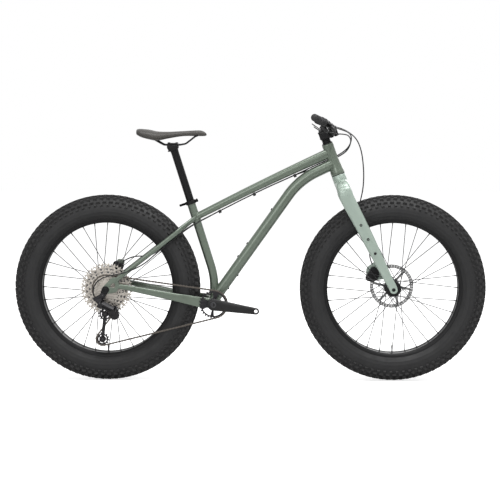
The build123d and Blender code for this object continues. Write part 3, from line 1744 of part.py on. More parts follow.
shift_frame_points = [
    (343, 43, 907),
    (300, 36, 886),
    (256, 25, 867),
    (215, -1, 854),
    (182.5, -5, 842.5),
    *[(x, -y, z) for x, y, z in shared_run],
    (-384, -84, 523),
    (-424, -103, 488),
    (-472, -112, 463),
    (-522, -115, 447),
    (-560, -118, 441),
    (-594, -120, 432),
    (-621, -120, 412),
    (-635, -119, 384),
    (-630, -118, 356),
]
with BuildPart() as front_hose:
    add(hose(front_hose_points, hose_radius, "front hose"))
front_hose.part.label = "front_hose"
export_step(front_hose.part, "parts/front_hose.step")

with BuildPart() as loop_hoses:
    add(hose(brake_loop_points, hose_radius, "brake loop"))
    add(hose(shift_loop_points, hose_radius, "shift loop"))
loop_hoses.part.label = "loop_hoses"
export_step(loop_hoses.part, "parts/loop_hoses.step")

with BuildPart() as frame_hoses:
    add(hose(brake_frame_points, hose_radius, "brake frame run"))
    add(hose(shift_frame_points, hose_radius, "shift frame run"))
frame_hoses.part.label = "frame_hoses"
export_step(frame_hoses.part, "parts/frame_hoses.step")

# Cable guides under the top tube and the bolts of the bottle mounts on the down tube.
guide_along = Vector(cos(radians(guide_slope)), 0, sin(radians(guide_slope)))
with BuildPart() as frame_fittings:
    for x, z in guide_places:
        with BuildSketch(Plane(origin=(x, 0, z), x_dir=(0, 1, 0), z_dir=guide_along)):
            with Locations((0, -4)):
                Rectangle(21, 16)
            with Locations((5, 0), (-5, 0)):
                Rectangle(6.4, 6.4, mode=Mode.SUBTRACT)
        extrude(amount=6, both=True)
    add(top_tube.part, mode=Mode.SUBTRACT)
    for run, face in boss_stations:
        up = Vector(-down_dir.Z, 0, down_dir.X) * face
        spot = down_start + down_dir * run + up * down_tube_radius
        add(shaft(spot - up * 2, spot + up * 2.5, 5.0, 10))
    add(down_tube.part, mode=Mode.SUBTRACT)
frame_fittings.part.label = "frame_fittings"
export_step(frame_fittings.part, "parts/frame_fittings.step")
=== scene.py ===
# Fat-tyred mountain bike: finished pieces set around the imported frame.
# Shapes are drawn in millimetres and scaled to metres when a piece is made.
from math import asin, atan2, cos, hypot, pi, radians, sin

import bmesh
import bpy
from mathutils import Matrix, Vector
from mathutils.bvhtree import BVHTree


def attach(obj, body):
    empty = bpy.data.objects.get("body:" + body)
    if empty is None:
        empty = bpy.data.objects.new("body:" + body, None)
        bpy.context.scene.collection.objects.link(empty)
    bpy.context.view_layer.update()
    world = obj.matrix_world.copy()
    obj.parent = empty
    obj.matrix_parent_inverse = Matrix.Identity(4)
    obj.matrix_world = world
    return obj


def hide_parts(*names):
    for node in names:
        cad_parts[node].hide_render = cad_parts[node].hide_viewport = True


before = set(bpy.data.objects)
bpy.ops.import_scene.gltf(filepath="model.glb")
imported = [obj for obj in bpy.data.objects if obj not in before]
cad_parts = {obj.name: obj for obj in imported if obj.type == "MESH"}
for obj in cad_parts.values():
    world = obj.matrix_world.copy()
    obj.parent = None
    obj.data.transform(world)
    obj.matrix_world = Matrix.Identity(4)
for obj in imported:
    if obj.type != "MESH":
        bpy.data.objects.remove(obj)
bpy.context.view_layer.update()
mm = 0.001
crosswise = Vector((0, 1, 0))
upright = Vector((0, 0, 1))
forward = Vector((1, 0, 0))

# places shared by the pieces
frontAxle = Vector((584.5, 0, 381))
rearAxle = Vector((-584.5, 0, 381))
bottomBracket = Vector((-147.375, 0, 319))
headAngle = radians(70.3)
steerUp = Vector((-cos(headAngle), 0, sin(headAngle)))
steerAhead = Vector((sin(headAngle), 0, cos(headAngle)))
steerFoot = frontAxle - steerAhead * 55
headBottom = 514  # along the steerer
seatAngle = radians(72.5)
seatUp = Vector((-cos(seatAngle), 0, sin(seatAngle)))
seatAhead = Vector((sin(seatAngle), 0, cos(seatAngle)))
seatBend = bottomBracket + upright * 111
seatTop = seatBend + seatUp * (303 / sin(seatAngle))
postHead = seatTop + seatUp * 236


def onSteerer(along, ahead=0.0, y=0.0):
    return steerFoot + steerUp * along + steerAhead * ahead + crosswise * y


def onPost(along, ahead=0.0, y=0.0):
    return seatTop + seatUp * along + seatAhead * ahead + crosswise * y


def addObject(name, data):
    obj = bpy.data.objects.new(name, data)
    bpy.context.scene.collection.objects.link(obj)
    return obj


# A plain mesh of what the object's modifiers or curve settings make
def finishedMesh(obj):
    return bpy.data.meshes.new_from_object(obj.evaluated_get(bpy.context.evaluated_depsgraph_get()))


# drawing helpers: most return a bmesh in millimetres
def place(origin, xDir, zDir):
    z = Vector(zDir).normalized()
    x = Vector(xDir)
    x = (x - z * x.dot(z)).normalized()
    y = z.cross(x)
    grid = Matrix((x, y, z)).transposed().to_4x4()
    grid.translation = origin
    return grid


def sideOn(y, x=0.0, z=0.0):
    return place((x, y, z), forward, -crosswise)  # seen from the drive side


# Rows of numbers carried along a smooth line through every row
def smoothRows(rows, steps):
    out = []
    last = len(rows) - 1
    for k in range(last):
        a, b, c, d = rows[max(k - 1, 0)], rows[k], rows[k + 1], rows[min(k + 2, last)]
        for s in range(steps):
            t = s / steps
            out.append([
                0.5 * (
                    2 * q + (r - p) * t
                    + (2 * p - 5 * q + 4 * r - e) * t**2 + (3 * q - p - 3 * r + e) * t**3
                )
                for p, q, r, e in zip(a, b, c, d)
            ])
    out.append(list(rows[last]))
    return out


# Straight runs with an arc of the radius at each corner
def filletPath(points, radius, steps=8):
    points = [Vector(point) for point in points]
    out = [points[0]]
    for before, corner, after in zip(points, points[1:], points[2:]):
        back = (before - corner).normalized()
        ahead = (after - corner).normalized()
        half = back.angle(ahead) / 2
        room = 0.48 * min((before - corner).length, (after - corner).length)
        reach = min(radius * cos(half) / sin(half), room)
        bend = reach * sin(half) / cos(half)
        centre = corner + (back + ahead).normalized() * (bend / sin(half))
        start = corner + back * reach - centre
        end = corner + ahead * reach - centre
        for s in range(steps + 1):
            out.append(centre + start.slerp(end, s / steps).normalized() * bend)
    out.append(points[-1])
    return out


def spread(points, spacing):
    out = [points[0]]
    for a, b in zip(points, points[1:]):
        parts = max(1, round((b - a).length / spacing))
        out += [a.lerp(b, (s + 1) / parts) for s in range(parts)]
    return out


# A ring that is round when square is 2 and boxier above
def oval(width, depth, square=2.0, sides=32):
    corners = []
    for k in range(sides):
        turn = 2 * pi * k / sides
        c, s = cos(turn), sin(turn)
        corners.append((
            width / 2 * abs(c) ** (2 / square) * (1 if c > 0 else -1),
            depth / 2 * abs(s) ** (2 / square) * (1 if s > 0 else -1),
        ))
    return corners


def skin(rings, caps=True, loop=False):
    mesh = bmesh.new()
    rows = [[mesh.verts.new(point) for point in ring] for ring in rings]
    pairs = list(zip(rows, rows[1:])) + ([(rows[-1], rows[0])] if loop else [])
    for low, high in pairs:
        for k in range(len(low)):
            mesh.faces.new((low[k - 1], low[k], high[k], high[k - 1]))
    if caps and not loop:
        mesh.faces.new(rows[0])
        mesh.faces.new(rows[-1])
    bmesh.ops.recalc_face_normals(mesh, faces=mesh.faces)
    return mesh


# Points with a (width, depth) at each; the width runs along xDir
def tube(points, sizes, square=2.0, sides=32, xDir=None):
    rings = []
    side = xDir
    last = len(points) - 1
    for k, point in enumerate(points):
        along = (points[min(k + 1, last)] - points[max(k - 1, 0)]).normalized()
        if side is None:
            side = along.orthogonal().normalized()
        side = (side - along * side.dot(along)).normalized()
        other = along.cross(side)
        width, depth = sizes[k] if isinstance(sizes, list) else sizes
        rings.append([point + side * a + other * b for a, b in oval(width, depth, square, sides)])
    return skin(rings)


# A lathe piece: (place along the axis, radius) rows, or a closed section with loop
def turned(profile, origin, axis, segments=48, loop=False):
    grid = place(origin, Vector(axis).orthogonal(), axis)
    rings = []
    for along, radius in profile:
        rings.append([
            grid @ Vector((radius * cos(2 * pi * k / segments), radius * sin(2 * pi * k / segments), along))
            for k in range(segments)
        ])
    return skin(rings, loop=loop)


def rod(start, end, radius, edge=0.6, segments=24):
    start, end = Vector(start), Vector(end)
    length = (end - start).length
    rows = [(0, radius - edge), (edge, radius), (length - edge, radius), (length, radius - edge)]
    return turned(rows, start, end - start, segments)


def roundOff(corners, radius, steps=4):
    out = []
    count = len(corners)
    for k in range(count):
        corner = Vector(corners[k])
        back = Vector(corners[k - 1]) - corner
        ahead = Vector(corners[(k + 1) % count]) - corner
        cut = min(radius, 0.45 * back.length, 0.45 * ahead.length)
        start, end = corner + back.normalized() * cut, corner + ahead.normalized() * cut
        for s in range(steps + 1):
            t = s / steps
            out.append(start * (1 - t) ** 2 + corner * 2 * t * (1 - t) + end * t**2)
    return [(point.x, point.y) for point in out]


def ringOf(x, y, radius, sides=24, start=0.0):
    return [
        (x + radius * cos(start + 2 * pi * k / sides), y + radius * sin(start + 2 * pi * k / sides))
        for k in range(sides)
    ]


# A flat piece from 0 to its thickness along the grid's z, holes after the outline
def plate(outlines, grid, thickness, bevel=0.4, soft=1):
    curve = bpy.data.curves.new("plate", "CURVE")
    curve.dimensions = "2D"
    curve.fill_mode = "BOTH"
    curve.extrude = thickness / 2 - bevel
    curve.bevel_depth = bevel
    curve.bevel_resolution = soft
    curve.offset = -bevel
    for outline in outlines:
        spline = curve.splines.new("POLY")
        spline.points.add(len(outline) - 1)
        for point, (x, y) in zip(spline.points, outline):
            point.co = (x, y, 0, 1)
        spline.use_cyclic_u = True
    holder = addObject("plate", curve)
    flat = finishedMesh(holder)
    bpy.data.objects.remove(holder)
    bpy.data.curves.remove(curve)
    mesh = bmesh.new()
    mesh.from_mesh(flat)
    bpy.data.meshes.remove(flat)
    bmesh.ops.remove_doubles(mesh, verts=mesh.verts, dist=0.001)
    bmesh.ops.transform(mesh, matrix=grid @ Matrix.Translation((0, 0, thickness / 2)), verts=mesh.verts)
    return mesh


# A copy of a frame node with its loose triangles merged and its edges rounded
def softened(node, width=0.6, segments=2):
    mesh = bmesh.new()
    mesh.from_mesh(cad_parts[node].data)
    bmesh.ops.scale(mesh, vec=(1 / mm,) * 3, verts=mesh.verts)
    bmesh.ops.remove_doubles(mesh, verts=mesh.verts, dist=0.002)
    bmesh.ops.dissolve_limit(mesh, angle_limit=radians(3), verts=mesh.verts, edges=mesh.edges)
    paired = [edge for edge in mesh.edges if len(edge.link_faces) == 2]
    sharp = [edge for edge in paired if edge.calc_face_angle() > radians(28)]
    bmesh.ops.bevel(mesh, geom=sharp, offset=width, segments=segments, affect="EDGES", clamp_overlap=True)
    return mesh


# The same piece on the other side of the bike, its faces turned back outwards
def flip(mesh):
    twin = mesh.copy()
    bmesh.ops.scale(twin, vec=(1, -1, 1), verts=twin.verts)
    bmesh.ops.reverse_faces(twin, faces=twin.faces)
    return twin


def plainMesh(name, parts):
    whole = bmesh.new()
    for part in parts:
        shell = bpy.data.meshes.new("part")
        part.to_mesh(shell)
        part.free()
        whole.from_mesh(shell)
        bpy.data.meshes.remove(shell)
    bmesh.ops.scale(whole, vec=(mm, mm, mm), verts=whole.verts)
    mesh = bpy.data.meshes.new(name)
    whole.to_mesh(mesh)
    whole.free()
    return mesh


def makePiece(name, parts, body, finish, nodes=(), sharp=38):
    obj = addObject(name, plainMesh(name, parts))
    return dress(obj, body, finish, nodes, sharp)


def dress(obj, body, finish, nodes=(), sharp=38):
    obj.data.polygons.foreach_set("use_smooth", [True] * len(obj.data.polygons))
    obj.data.set_sharp_from_angle(angle=radians(sharp))
    obj.data.materials.clear()
    obj.data.materials.append(finish)
    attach(obj, body)
    if nodes:
        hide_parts(*nodes)
    return obj


# finishes
def addNode(tree, kind, **values):
    node = tree.nodes.new(kind)
    for name, value in values.items():
        setattr(node, name, value)
    return node


# Colour patches, a fine grain and a roughness that wanders, for every finish
def grainGroup():
    group = bpy.data.node_groups.new("surfaceGrain", "ShaderNodeTree")
    for name, kind, value in (
        ("Colour", "NodeSocketColor", (0.5, 0.5, 0.5, 1)),
        ("Second Colour", "NodeSocketColor", (0.4, 0.4, 0.4, 1)),
        ("Patch Scale", "NodeSocketFloat", 12.0),
        ("Patch Share", "NodeSocketFloat", 0.4),
        ("Grain Scale", "NodeSocketFloat", 900.0),
        ("Grain Depth", "NodeSocketFloat", 0.1),
        ("Smoothest", "NodeSocketFloat", 0.3),
        ("Roughest", "NodeSocketFloat", 0.5),
    ):
        socket = group.interface.new_socket(name, in_out="INPUT", socket_type=kind)
        socket.default_value = value
    group.interface.new_socket("Colour", in_out="OUTPUT", socket_type="NodeSocketColor")
    group.interface.new_socket("Roughness", in_out="OUTPUT", socket_type="NodeSocketFloat")
    group.interface.new_socket("Normal", in_out="OUTPUT", socket_type="NodeSocketVector")
    start = addNode(group, "NodeGroupInput")
    end = addNode(group, "NodeGroupOutput")
    where = addNode(group, "ShaderNodeTexCoord")
    patches = addNode(group, "ShaderNodeTexNoise")
    patches.inputs["Detail"].default_value = 4.0
    grain = addNode(group, "ShaderNodeTexNoise")
    grain.inputs["Detail"].default_value = 2.0
    share = addNode(group, "ShaderNodeMath", operation="MULTIPLY")
    mix = addNode(group, "ShaderNodeMix", data_type="RGBA")
    rough = addNode(group, "ShaderNodeMapRange")
    rough.inputs["From Min"].default_value = 0.3
    rough.inputs["From Max"].default_value = 0.7
    bump = addNode(group, "ShaderNodeBump")
    bump.inputs["Distance"].default_value = 0.0004
    link = group.links.new
    link(where.outputs["Object"], patches.inputs["Vector"])
    link(where.outputs["Object"], grain.inputs["Vector"])
    link(start.outputs["Patch Scale"], patches.inputs["Scale"])
    link(start.outputs["Grain Scale"], grain.inputs["Scale"])
    link(patches.outputs["Fac"], share.inputs[0])
    link(start.outputs["Patch Share"], share.inputs[1])
    link(share.outputs[0], mix.inputs["Factor"])
    link(start.outputs["Colour"], mix.inputs["A"])
    link(start.outputs["Second Colour"], mix.inputs["B"])
    link(mix.outputs["Result"], end.inputs["Colour"])
    link(patches.outputs["Fac"], rough.inputs["Value"])
    link(start.outputs["Smoothest"], rough.inputs["To Min"])
    link(start.outputs["Roughest"], rough.inputs["To Max"])
    link(rough.outputs["Result"], end.inputs["Roughness"])
    link(grain.outputs["Fac"], bump.inputs["Height"])
    link(start.outputs["Grain Depth"], bump.inputs["Strength"])
    link(bump.outputs["Normal"], end.inputs["Normal"])
    return group


surfaceGrain = grainGroup()


# Screen colour, 0 to 255, as the linear colour a shader takes
def rgb(red, green, blue):
    return tuple(
        ((c / 255 + 0.055) / 1.055) ** 2.4 if c > 10 else c / 3294.6 for c in (red, green, blue)
    ) + (1,)


def makeFinish(name, slot, colour, second, patch=(12, 0.4), grain=(900, 0.1), rough=(0.3, 0.5), **shader):
    finish = bpy.data.materials.new(name)
    finish.use_nodes = True
    finish["slot"] = slot
    tree = finish.node_tree
    surface = tree.nodes["Principled BSDF"]
    detail = addNode(tree, "ShaderNodeGroup", node_tree=surfaceGrain)
    for socket, value in (
        ("Colour", colour), ("Second Colour", second), ("Patch Scale", patch[0]), ("Patch Share", patch[1]),
        ("Grain Scale", grain[0]), ("Grain Depth", grain[1]), ("Smoothest", rough[0]), ("Roughest", rough[1]),
    ):
        detail.inputs[socket].default_value = value
    tree.links.new(detail.outputs["Colour"], surface.inputs["Base Color"])
    tree.links.new(detail.outputs["Roughness"], surface.inputs["Roughness"])
    tree.links.new(detail.outputs["Normal"], surface.inputs["Normal"])
    for socket, value in shader.items():
        surface.inputs[socket.replace("_", " ")].default_value = value
    return finish


framePaint = makeFinish(
    "framePaint", "frame_paint", rgb(108, 120, 104), rgb(98, 112, 102), (5, 0.6), (2600, 0.04), (0.3, 0.38),
    Metallic=0.5, Coat_Weight=1.0, Coat_Roughness=0.06,
)
forkPaint = makeFinish(
    "forkPaint", "fork_paint", rgb(176, 192, 180), rgb(168, 186, 175), (5, 0.5), (2600, 0.04), (0.34, 0.42),
    Metallic=0.35, Coat_Weight=0.8, Coat_Roughness=0.08,
)
casingRubber = makeFinish(
    "casingRubber", "tread_rubber", rgb(27, 27, 28), rgb(34, 34, 35), (30, 0.6), (1400, 0.25), (0.55, 0.7),
)
knobRubber = makeFinish(
    "knobRubber", "tread_rubber", rgb(30, 30, 31), rgb(50, 49, 49), (60, 0.7), (700, 0.4), (0.6, 0.8),
)
blackAlloy = makeFinish(
    "blackAlloy", "black_alloy", rgb(26, 26, 27), rgb(34, 34, 35), (18, 0.5), (2200, 0.12), (0.34, 0.46),
    Metallic=0.6,
)
crankBlack = makeFinish(
    "crankBlack", "black_alloy", rgb(12, 12, 13), rgb(18, 18, 19), (14, 0.5), (1800, 0.08), (0.36, 0.46),
    Metallic=0.3, Coat_Weight=0.15, Coat_Roughness=0.2,
)
spokeSteel = makeFinish(
    "spokeSteel", "bright_steel", rgb(62, 62, 64), rgb(84, 84, 86), (40, 0.6), (2500, 0.05), (0.3, 0.4),
    Metallic=0.4,
)
rotorSteel = makeFinish(
    "rotorSteel", "bright_steel", rgb(160, 160, 160), rgb(135, 135, 135), (70, 0.7), (2500, 0.15),
    (0.25, 0.4), Metallic=1.0,
)
cogSteel = makeFinish(
    "cogSteel", "gear_steel", rgb(206, 200, 192), rgb(160, 153, 144), (90, 0.7), (1800, 0.15), (0.3, 0.45),
    Metallic=0.85,
)
chainSteel = makeFinish(
    "chainSteel", "chain_steel", rgb(112, 106, 100), rgb(70, 66, 62), (120, 0.8), (1500, 0.2), (0.3, 0.5),
    Metallic=0.9,
)
gripRubber = makeFinish(
    "gripRubber", "grip_rubber", rgb(34, 34, 35), rgb(42, 42, 43), (80, 0.5), (1600, 0.3), (0.65, 0.8),
)
controlPlastic = makeFinish(
    "controlPlastic", "control_plastic", rgb(24, 24, 25), rgb(36, 36, 37), (40, 0.6), (1900, 0.2),
    (0.35, 0.5),
)
hosePlastic = makeFinish(
    "hosePlastic", "hose_plastic", rgb(22, 23, 24), rgb(30, 31, 32), (30, 0.4), (1600, 0.05), (0.3, 0.42),
)
derailleurBlack = makeFinish(
    "derailleurBlack", "derailleur_black", rgb(28, 27, 30), rgb(40, 38, 42), (40, 0.6), (1700, 0.15),
    (0.3, 0.46), Metallic=0.35,
)
saddleCover = makeFinish(
    "saddleCover", "saddle_cover", rgb(64, 62, 60), rgb(76, 74, 68), (25, 0.6), (1100, 0.5), (0.45, 0.6),
)
railSteel = makeFinish(
    "railSteel", "rail_steel", rgb(30, 30, 31), rgb(46, 46, 47), (40, 0.5), (1800, 0.1), (0.3, 0.42),
    Metallic=0.7,
)
padCompound = makeFinish(
    "padCompound", "pad_compound", rgb(84, 76, 68), rgb(60, 55, 50), (150, 0.8), (900, 0.5), (0.7, 0.9),
)
fittingBlack = makeFinish(
    "fittingBlack", "fitting_black", rgb(12, 12, 13), rgb(20, 20, 21), (40, 0.5), (1500, 0.1), (0.35, 0.5),
)
boltSteel = makeFinish(
    "boltSteel", "bright_steel", rgb(70, 70, 72), rgb(100, 100, 102), (90, 0.6), (1800, 0.1), (0.28, 0.4),
    Metallic=0.9,
)
print("finishes made")


# Geometry Nodes trees for what repeats
def newTree(name, inputs):
    tree = bpy.data.node_groups.new(name, "GeometryNodeTree")
    tree.interface.new_socket("Geometry", in_out="INPUT", socket_type="NodeSocketGeometry")
    for socket, kind in inputs:
        tree.interface.new_socket(socket, in_out="INPUT", socket_type=kind)
    tree.interface.new_socket("Geometry", in_out="OUTPUT", socket_type="NodeSocketGeometry")
    return tree, addNode(tree, "NodeGroupInput"), addNode(tree, "NodeGroupOutput")


# Repeats the incoming piece round an axle that lies across the bike
def aroundAxleTree():
    tree, start, end = newTree("aroundAxle", (
        ("Count", "NodeSocketInt"), ("Axle", "NodeSocketVector"), ("Finish", "NodeSocketMaterial"),
    ))
    back = addNode(tree, "ShaderNodeVectorMath", operation="SCALE")
    back.inputs["Scale"].default_value = -1.0
    centred = addNode(tree, "GeometryNodeTransform")
    points = addNode(tree, "GeometryNodePoints")
    step = addNode(tree, "ShaderNodeMath", operation="DIVIDE")
    step.inputs[0].default_value = 2 * pi
    order = addNode(tree, "GeometryNodeInputIndex")
    angle = addNode(tree, "ShaderNodeMath", operation="MULTIPLY")
    turn = addNode(tree, "ShaderNodeCombineXYZ")
    copies = addNode(tree, "GeometryNodeInstanceOnPoints")
    real = addNode(tree, "GeometryNodeRealizeInstances")
    finish = addNode(tree, "GeometryNodeSetMaterial")
    link = tree.links.new
    link(start.outputs["Axle"], back.inputs[0])
    link(start.outputs["Geometry"], centred.inputs["Geometry"])
    link(back.outputs["Vector"], centred.inputs["Translation"])
    link(start.outputs["Count"], points.inputs["Count"])
    link(start.outputs["Axle"], points.inputs["Position"])
    link(start.outputs["Count"], step.inputs[1])
    link(order.outputs["Index"], angle.inputs[0])
    link(step.outputs[0], angle.inputs[1])
    link(angle.outputs[0], turn.inputs["Y"])
    link(points.outputs["Points"], copies.inputs["Points"])
    link(centred.outputs["Geometry"], copies.inputs["Instance"])
    link(turn.outputs["Vector"], copies.inputs["Rotation"])
    link(copies.outputs["Instances"], real.inputs["Geometry"])
    link(real.outputs["Geometry"], finish.inputs["Geometry"])
    link(start.outputs["Finish"], finish.inputs["Material"])
    link(finish.outputs["Geometry"], end.inputs["Geometry"])
    return tree


# Sets inner and outer links in turn on points that carry the chain's heading
def alongChainTree():
    tree, start, end = newTree("alongChain", (
        ("Inner Link", "NodeSocketObject"), ("Outer Link", "NodeSocketObject"),
        ("Finish", "NodeSocketMaterial"),
    ))
    heading = addNode(tree, "GeometryNodeInputNamedAttribute", data_type="FLOAT_VECTOR")
    heading.inputs["Name"].default_value = "heading"
    aim = addNode(tree, "FunctionNodeAlignRotationToVector", axis="X", pivot_axis="Y")
    order = addNode(tree, "GeometryNodeInputIndex")
    parity = addNode(tree, "ShaderNodeMath", operation="MODULO")
    parity.inputs[1].default_value = 2.0
    even = addNode(tree, "FunctionNodeBooleanMath", operation="NOT")
    join = addNode(tree, "GeometryNodeJoinGeometry")
    real = addNode(tree, "GeometryNodeRealizeInstances")
    finish = addNode(tree, "GeometryNodeSetMaterial")
    link = tree.links.new
    link(heading.outputs["Attribute"], aim.inputs["Vector"])
    link(order.outputs["Index"], parity.inputs[0])
    link(parity.outputs[0], even.inputs[0])
    for name, chosen in (("Inner Link", even.outputs[0]), ("Outer Link", parity.outputs[0])):
        source = addNode(tree, "GeometryNodeObjectInfo")
        copies = addNode(tree, "GeometryNodeInstanceOnPoints")
        link(start.outputs[name], source.inputs["Object"])
        link(start.outputs["Geometry"], copies.inputs["Points"])
        link(chosen, copies.inputs["Selection"])
        link(source.outputs["Geometry"], copies.inputs["Instance"])
        link(aim.outputs["Rotation"], copies.inputs["Rotation"])
        link(copies.outputs["Instances"], join.inputs["Geometry"])
    link(join.outputs["Geometry"], real.inputs["Geometry"])
    link(real.outputs["Geometry"], finish.inputs["Geometry"])
    link(start.outputs["Finish"], finish.inputs["Material"])
    link(finish.outputs["Geometry"], end.inputs["Geometry"])
    return tree


aroundAxle = aroundAxleTree()
alongChain = alongChainTree()


# Runs a tree on the object and leaves its result as a plain mesh
def grow(obj, tree, **inputs):
    modifier = obj.modifiers.new(tree.name, "NODES")
    modifier.node_group = tree
    for item in tree.interface.items_tree:
        if item.in_out == "INPUT" and item.name.replace(" ", "") in inputs:
            modifier[item.identifier] = inputs[item.name.replace(" ", "")]
    grown = finishedMesh(obj)
    obj.modifiers.clear()
    old = obj.data
    obj.data = grown
    bpy.data.meshes.remove(old)
    return obj


def repeated(name, parts, count, axle, finish):
    obj = addObject(name, plainMesh(name, parts))
    return grow(obj, aroundAxle, Count=count, Axle=tuple(axle * mm), Finish=finish)


# camera, floor and light
stage = {
    "distance": 7.0, "height": 5.1, "target": 0.535, "across": 0.15,  # metres, degrees, metres, metres
    "lens": 122.9, "sensor": 36.0,
    "floor": 14.0, "drop": 0.001, "white": (0.87, 0.87, 0.87, 1),
    "paper": 0.76,  # paper glows to the camera only
    "sky": 0.3, "mirror": 0.75,  # the world's light, and how white the room looks in gloss
    "lamps": (  # name, place, size, power
        ("keyLight", (0.6, -1.2, 4.2), (4.0, 2.2), 150.0),
        ("frontLight", (-1.8, -5.5, 2.2), (3.0, 2.0), 36.0),
        ("farLight", (1.5, 4.5, 2.4), (3.0, 2.0), 40.0),
    ),
    "aim": Vector((0, 0, 0.5)),
}


def turnTo(obj, spot):
    obj.rotation_euler = (spot - obj.location).to_track_quat("-Z", "Y").to_euler()


def placeCamera():
    camera = addObject("camera", bpy.data.cameras.new("camera"))
    rise = radians(stage["height"])
    target = Vector((0, 0, stage["target"]))
    camera.location = (
        target + Vector((0, -cos(rise), sin(rise))) * stage["distance"] + forward * stage["across"]
    )
    turnTo(camera, target)
    camera.data.lens = stage["lens"]
    camera.data.sensor_width = stage["sensor"]
    bpy.context.scene.camera = camera
    bpy.context.scene.view_settings.view_transform = "Standard"


def layFloor():
    grid = bmesh.new()
    bmesh.ops.create_grid(grid, x_segments=1, y_segments=1, size=stage["floor"])
    mesh = bpy.data.meshes.new("floor")
    grid.to_mesh(mesh)
    grid.free()
    floor = addObject("floor", mesh)
    floor.location = (0, 0, -stage["drop"])
    paper = bpy.data.materials.new("floorPaper")
    paper.use_nodes = True
    surface = paper.node_tree.nodes["Principled BSDF"]
    surface.inputs["Base Color"].default_value = stage["white"]
    surface.inputs["Roughness"].default_value = 0.9
    surface.inputs["Emission Color"].default_value = (1, 1, 1, 1)
    ray = addNode(paper.node_tree, "ShaderNodeLightPath")
    seen = addNode(paper.node_tree, "ShaderNodeMath", operation="MULTIPLY")
    seen.inputs[1].default_value = stage["paper"]
    paper.node_tree.links.new(ray.outputs["Is Camera Ray"], seen.inputs[0])
    paper.node_tree.links.new(seen.outputs[0], surface.inputs["Emission Strength"])
    mesh.materials.append(paper)


def lightRoom():
    world = bpy.data.worlds.new("studio")
    bpy.context.scene.world = world
    world.use_nodes = True
    tree = world.node_tree
    sky = tree.nodes["Background"]
    sky.inputs["Color"].default_value = (1, 1, 1, 1)
    ray = addNode(tree, "ShaderNodeLightPath")
    mirrored = addNode(tree, "ShaderNodeMath", operation="MULTIPLY")
    mirrored.inputs[1].default_value = stage["mirror"]
    seen = addNode(tree, "ShaderNodeMath", operation="MAXIMUM")
    strength = addNode(tree, "ShaderNodeMapRange")
    strength.inputs["To Min"].default_value = stage["sky"]
    strength.inputs["To Max"].default_value = 1.0
    tree.links.new(ray.outputs["Is Glossy Ray"], mirrored.inputs[0])
    tree.links.new(ray.outputs["Is Camera Ray"], seen.inputs[0])
    tree.links.new(mirrored.outputs[0], seen.inputs[1])
    tree.links.new(seen.outputs[0], strength.inputs["Value"])
    tree.links.new(strength.outputs["Result"], sky.inputs["Strength"])
    for name, spot, size, power in stage["lamps"]:
        lamp = bpy.data.lights.new(name, "AREA")
        lamp.shape = "RECTANGLE"
        lamp.size, lamp.size_y = size
        lamp.energy = power
        holder = addObject(name, lamp)
        holder.location = spot
        turnTo(holder, stage["aim"])


placeCamera()
layFloor()
lightRoom()
print("stage set")

# hoses: control points in metres, as the frame's routes have them
hose = {"radius": 0.0025}
frontHosePoints = [
    (0.329, 0.202, 1.045), (0.347, 0.153, 1.037), (0.378, 0.105, 1.03), (0.412, 0.078, 1.012),
    (0.44, 0.066, 0.985), (0.457, 0.062, 0.94), (0.465, 0.064, 0.885), (0.468, 0.07, 0.828),
    (0.464, 0.08, 0.772), (0.452, 0.094, 0.722), (0.456, 0.107, 0.672), (0.474, 0.107, 0.62),
    (0.489, 0.105, 0.57), (0.496, 0.099, 0.526), (0.494, 0.084, 0.496), (0.504, 0.068, 0.471),
]
brakeLoopPoints = [
    (0.329, -0.202, 1.045), (0.352, -0.154, 1.035), (0.38, -0.108, 1.026), (0.402, -0.062, 1.016),
    (0.414, -0.018, 0.998), (0.41, 0.018, 0.968), (0.388, 0.036, 0.938), (0.347, 0.036, 0.915),
]
shiftLoopPoints = [
    (0.318, -0.168, 1.021), (0.345, -0.14, 1.013), (0.376, -0.104, 1.012), (0.4, -0.058, 1.006),
    (0.412, -0.012, 0.985), (0.406, 0.024, 0.955), (0.385, 0.042, 0.928), (0.345, 0.043, 0.908),
]
sharedRun = [  # beneath the top tube and the left stay, mirrored for the shift line
    (0.128, 0.0045, 0.818), (0.072, 0.0045, 0.793), (0.0164, 0.0045, 0.766), (-0.04, 0.0045, 0.7385),
    (-0.092, 0.0045, 0.7115), (-0.14, 0.005, 0.6875), (-0.18, 0.016, 0.666), (-0.215, 0.027, 0.649),
    (-0.252, 0.035, 0.6265), (-0.292, 0.06, 0.597), (-0.338, 0.072, 0.561),
]
brakeFramePoints = [
    (0.345, 0.036, 0.914), (0.3, 0.034, 0.896), (0.256, 0.027, 0.876), (0.215, 0.01, 0.857),
    (0.1825, 0.005, 0.8425), *sharedRun, (-0.386, 0.073, 0.521), (-0.424, 0.071, 0.501),
    (-0.462, 0.074, 0.503), (-0.5, 0.08, 0.497), (-0.529, 0.083, 0.48),
]
shiftFramePoints = [
    (0.343, 0.043, 0.907), (0.3, 0.036, 0.886), (0.256, 0.025, 0.867), (0.215, -0.001, 0.854),
    (0.1825, -0.005, 0.8425), *[(x, -y, z) for x, y, z in sharedRun], (-0.384, -0.084, 0.523),
    (-0.424, -0.103, 0.488), (-0.472, -0.112, 0.463), (-0.522, -0.115, 0.447), (-0.56, -0.118, 0.441),
    (-0.594, -0.12, 0.432), (-0.621, -0.12, 0.412), (-0.635, -0.119, 0.384), (-0.63, -0.118, 0.356),
]


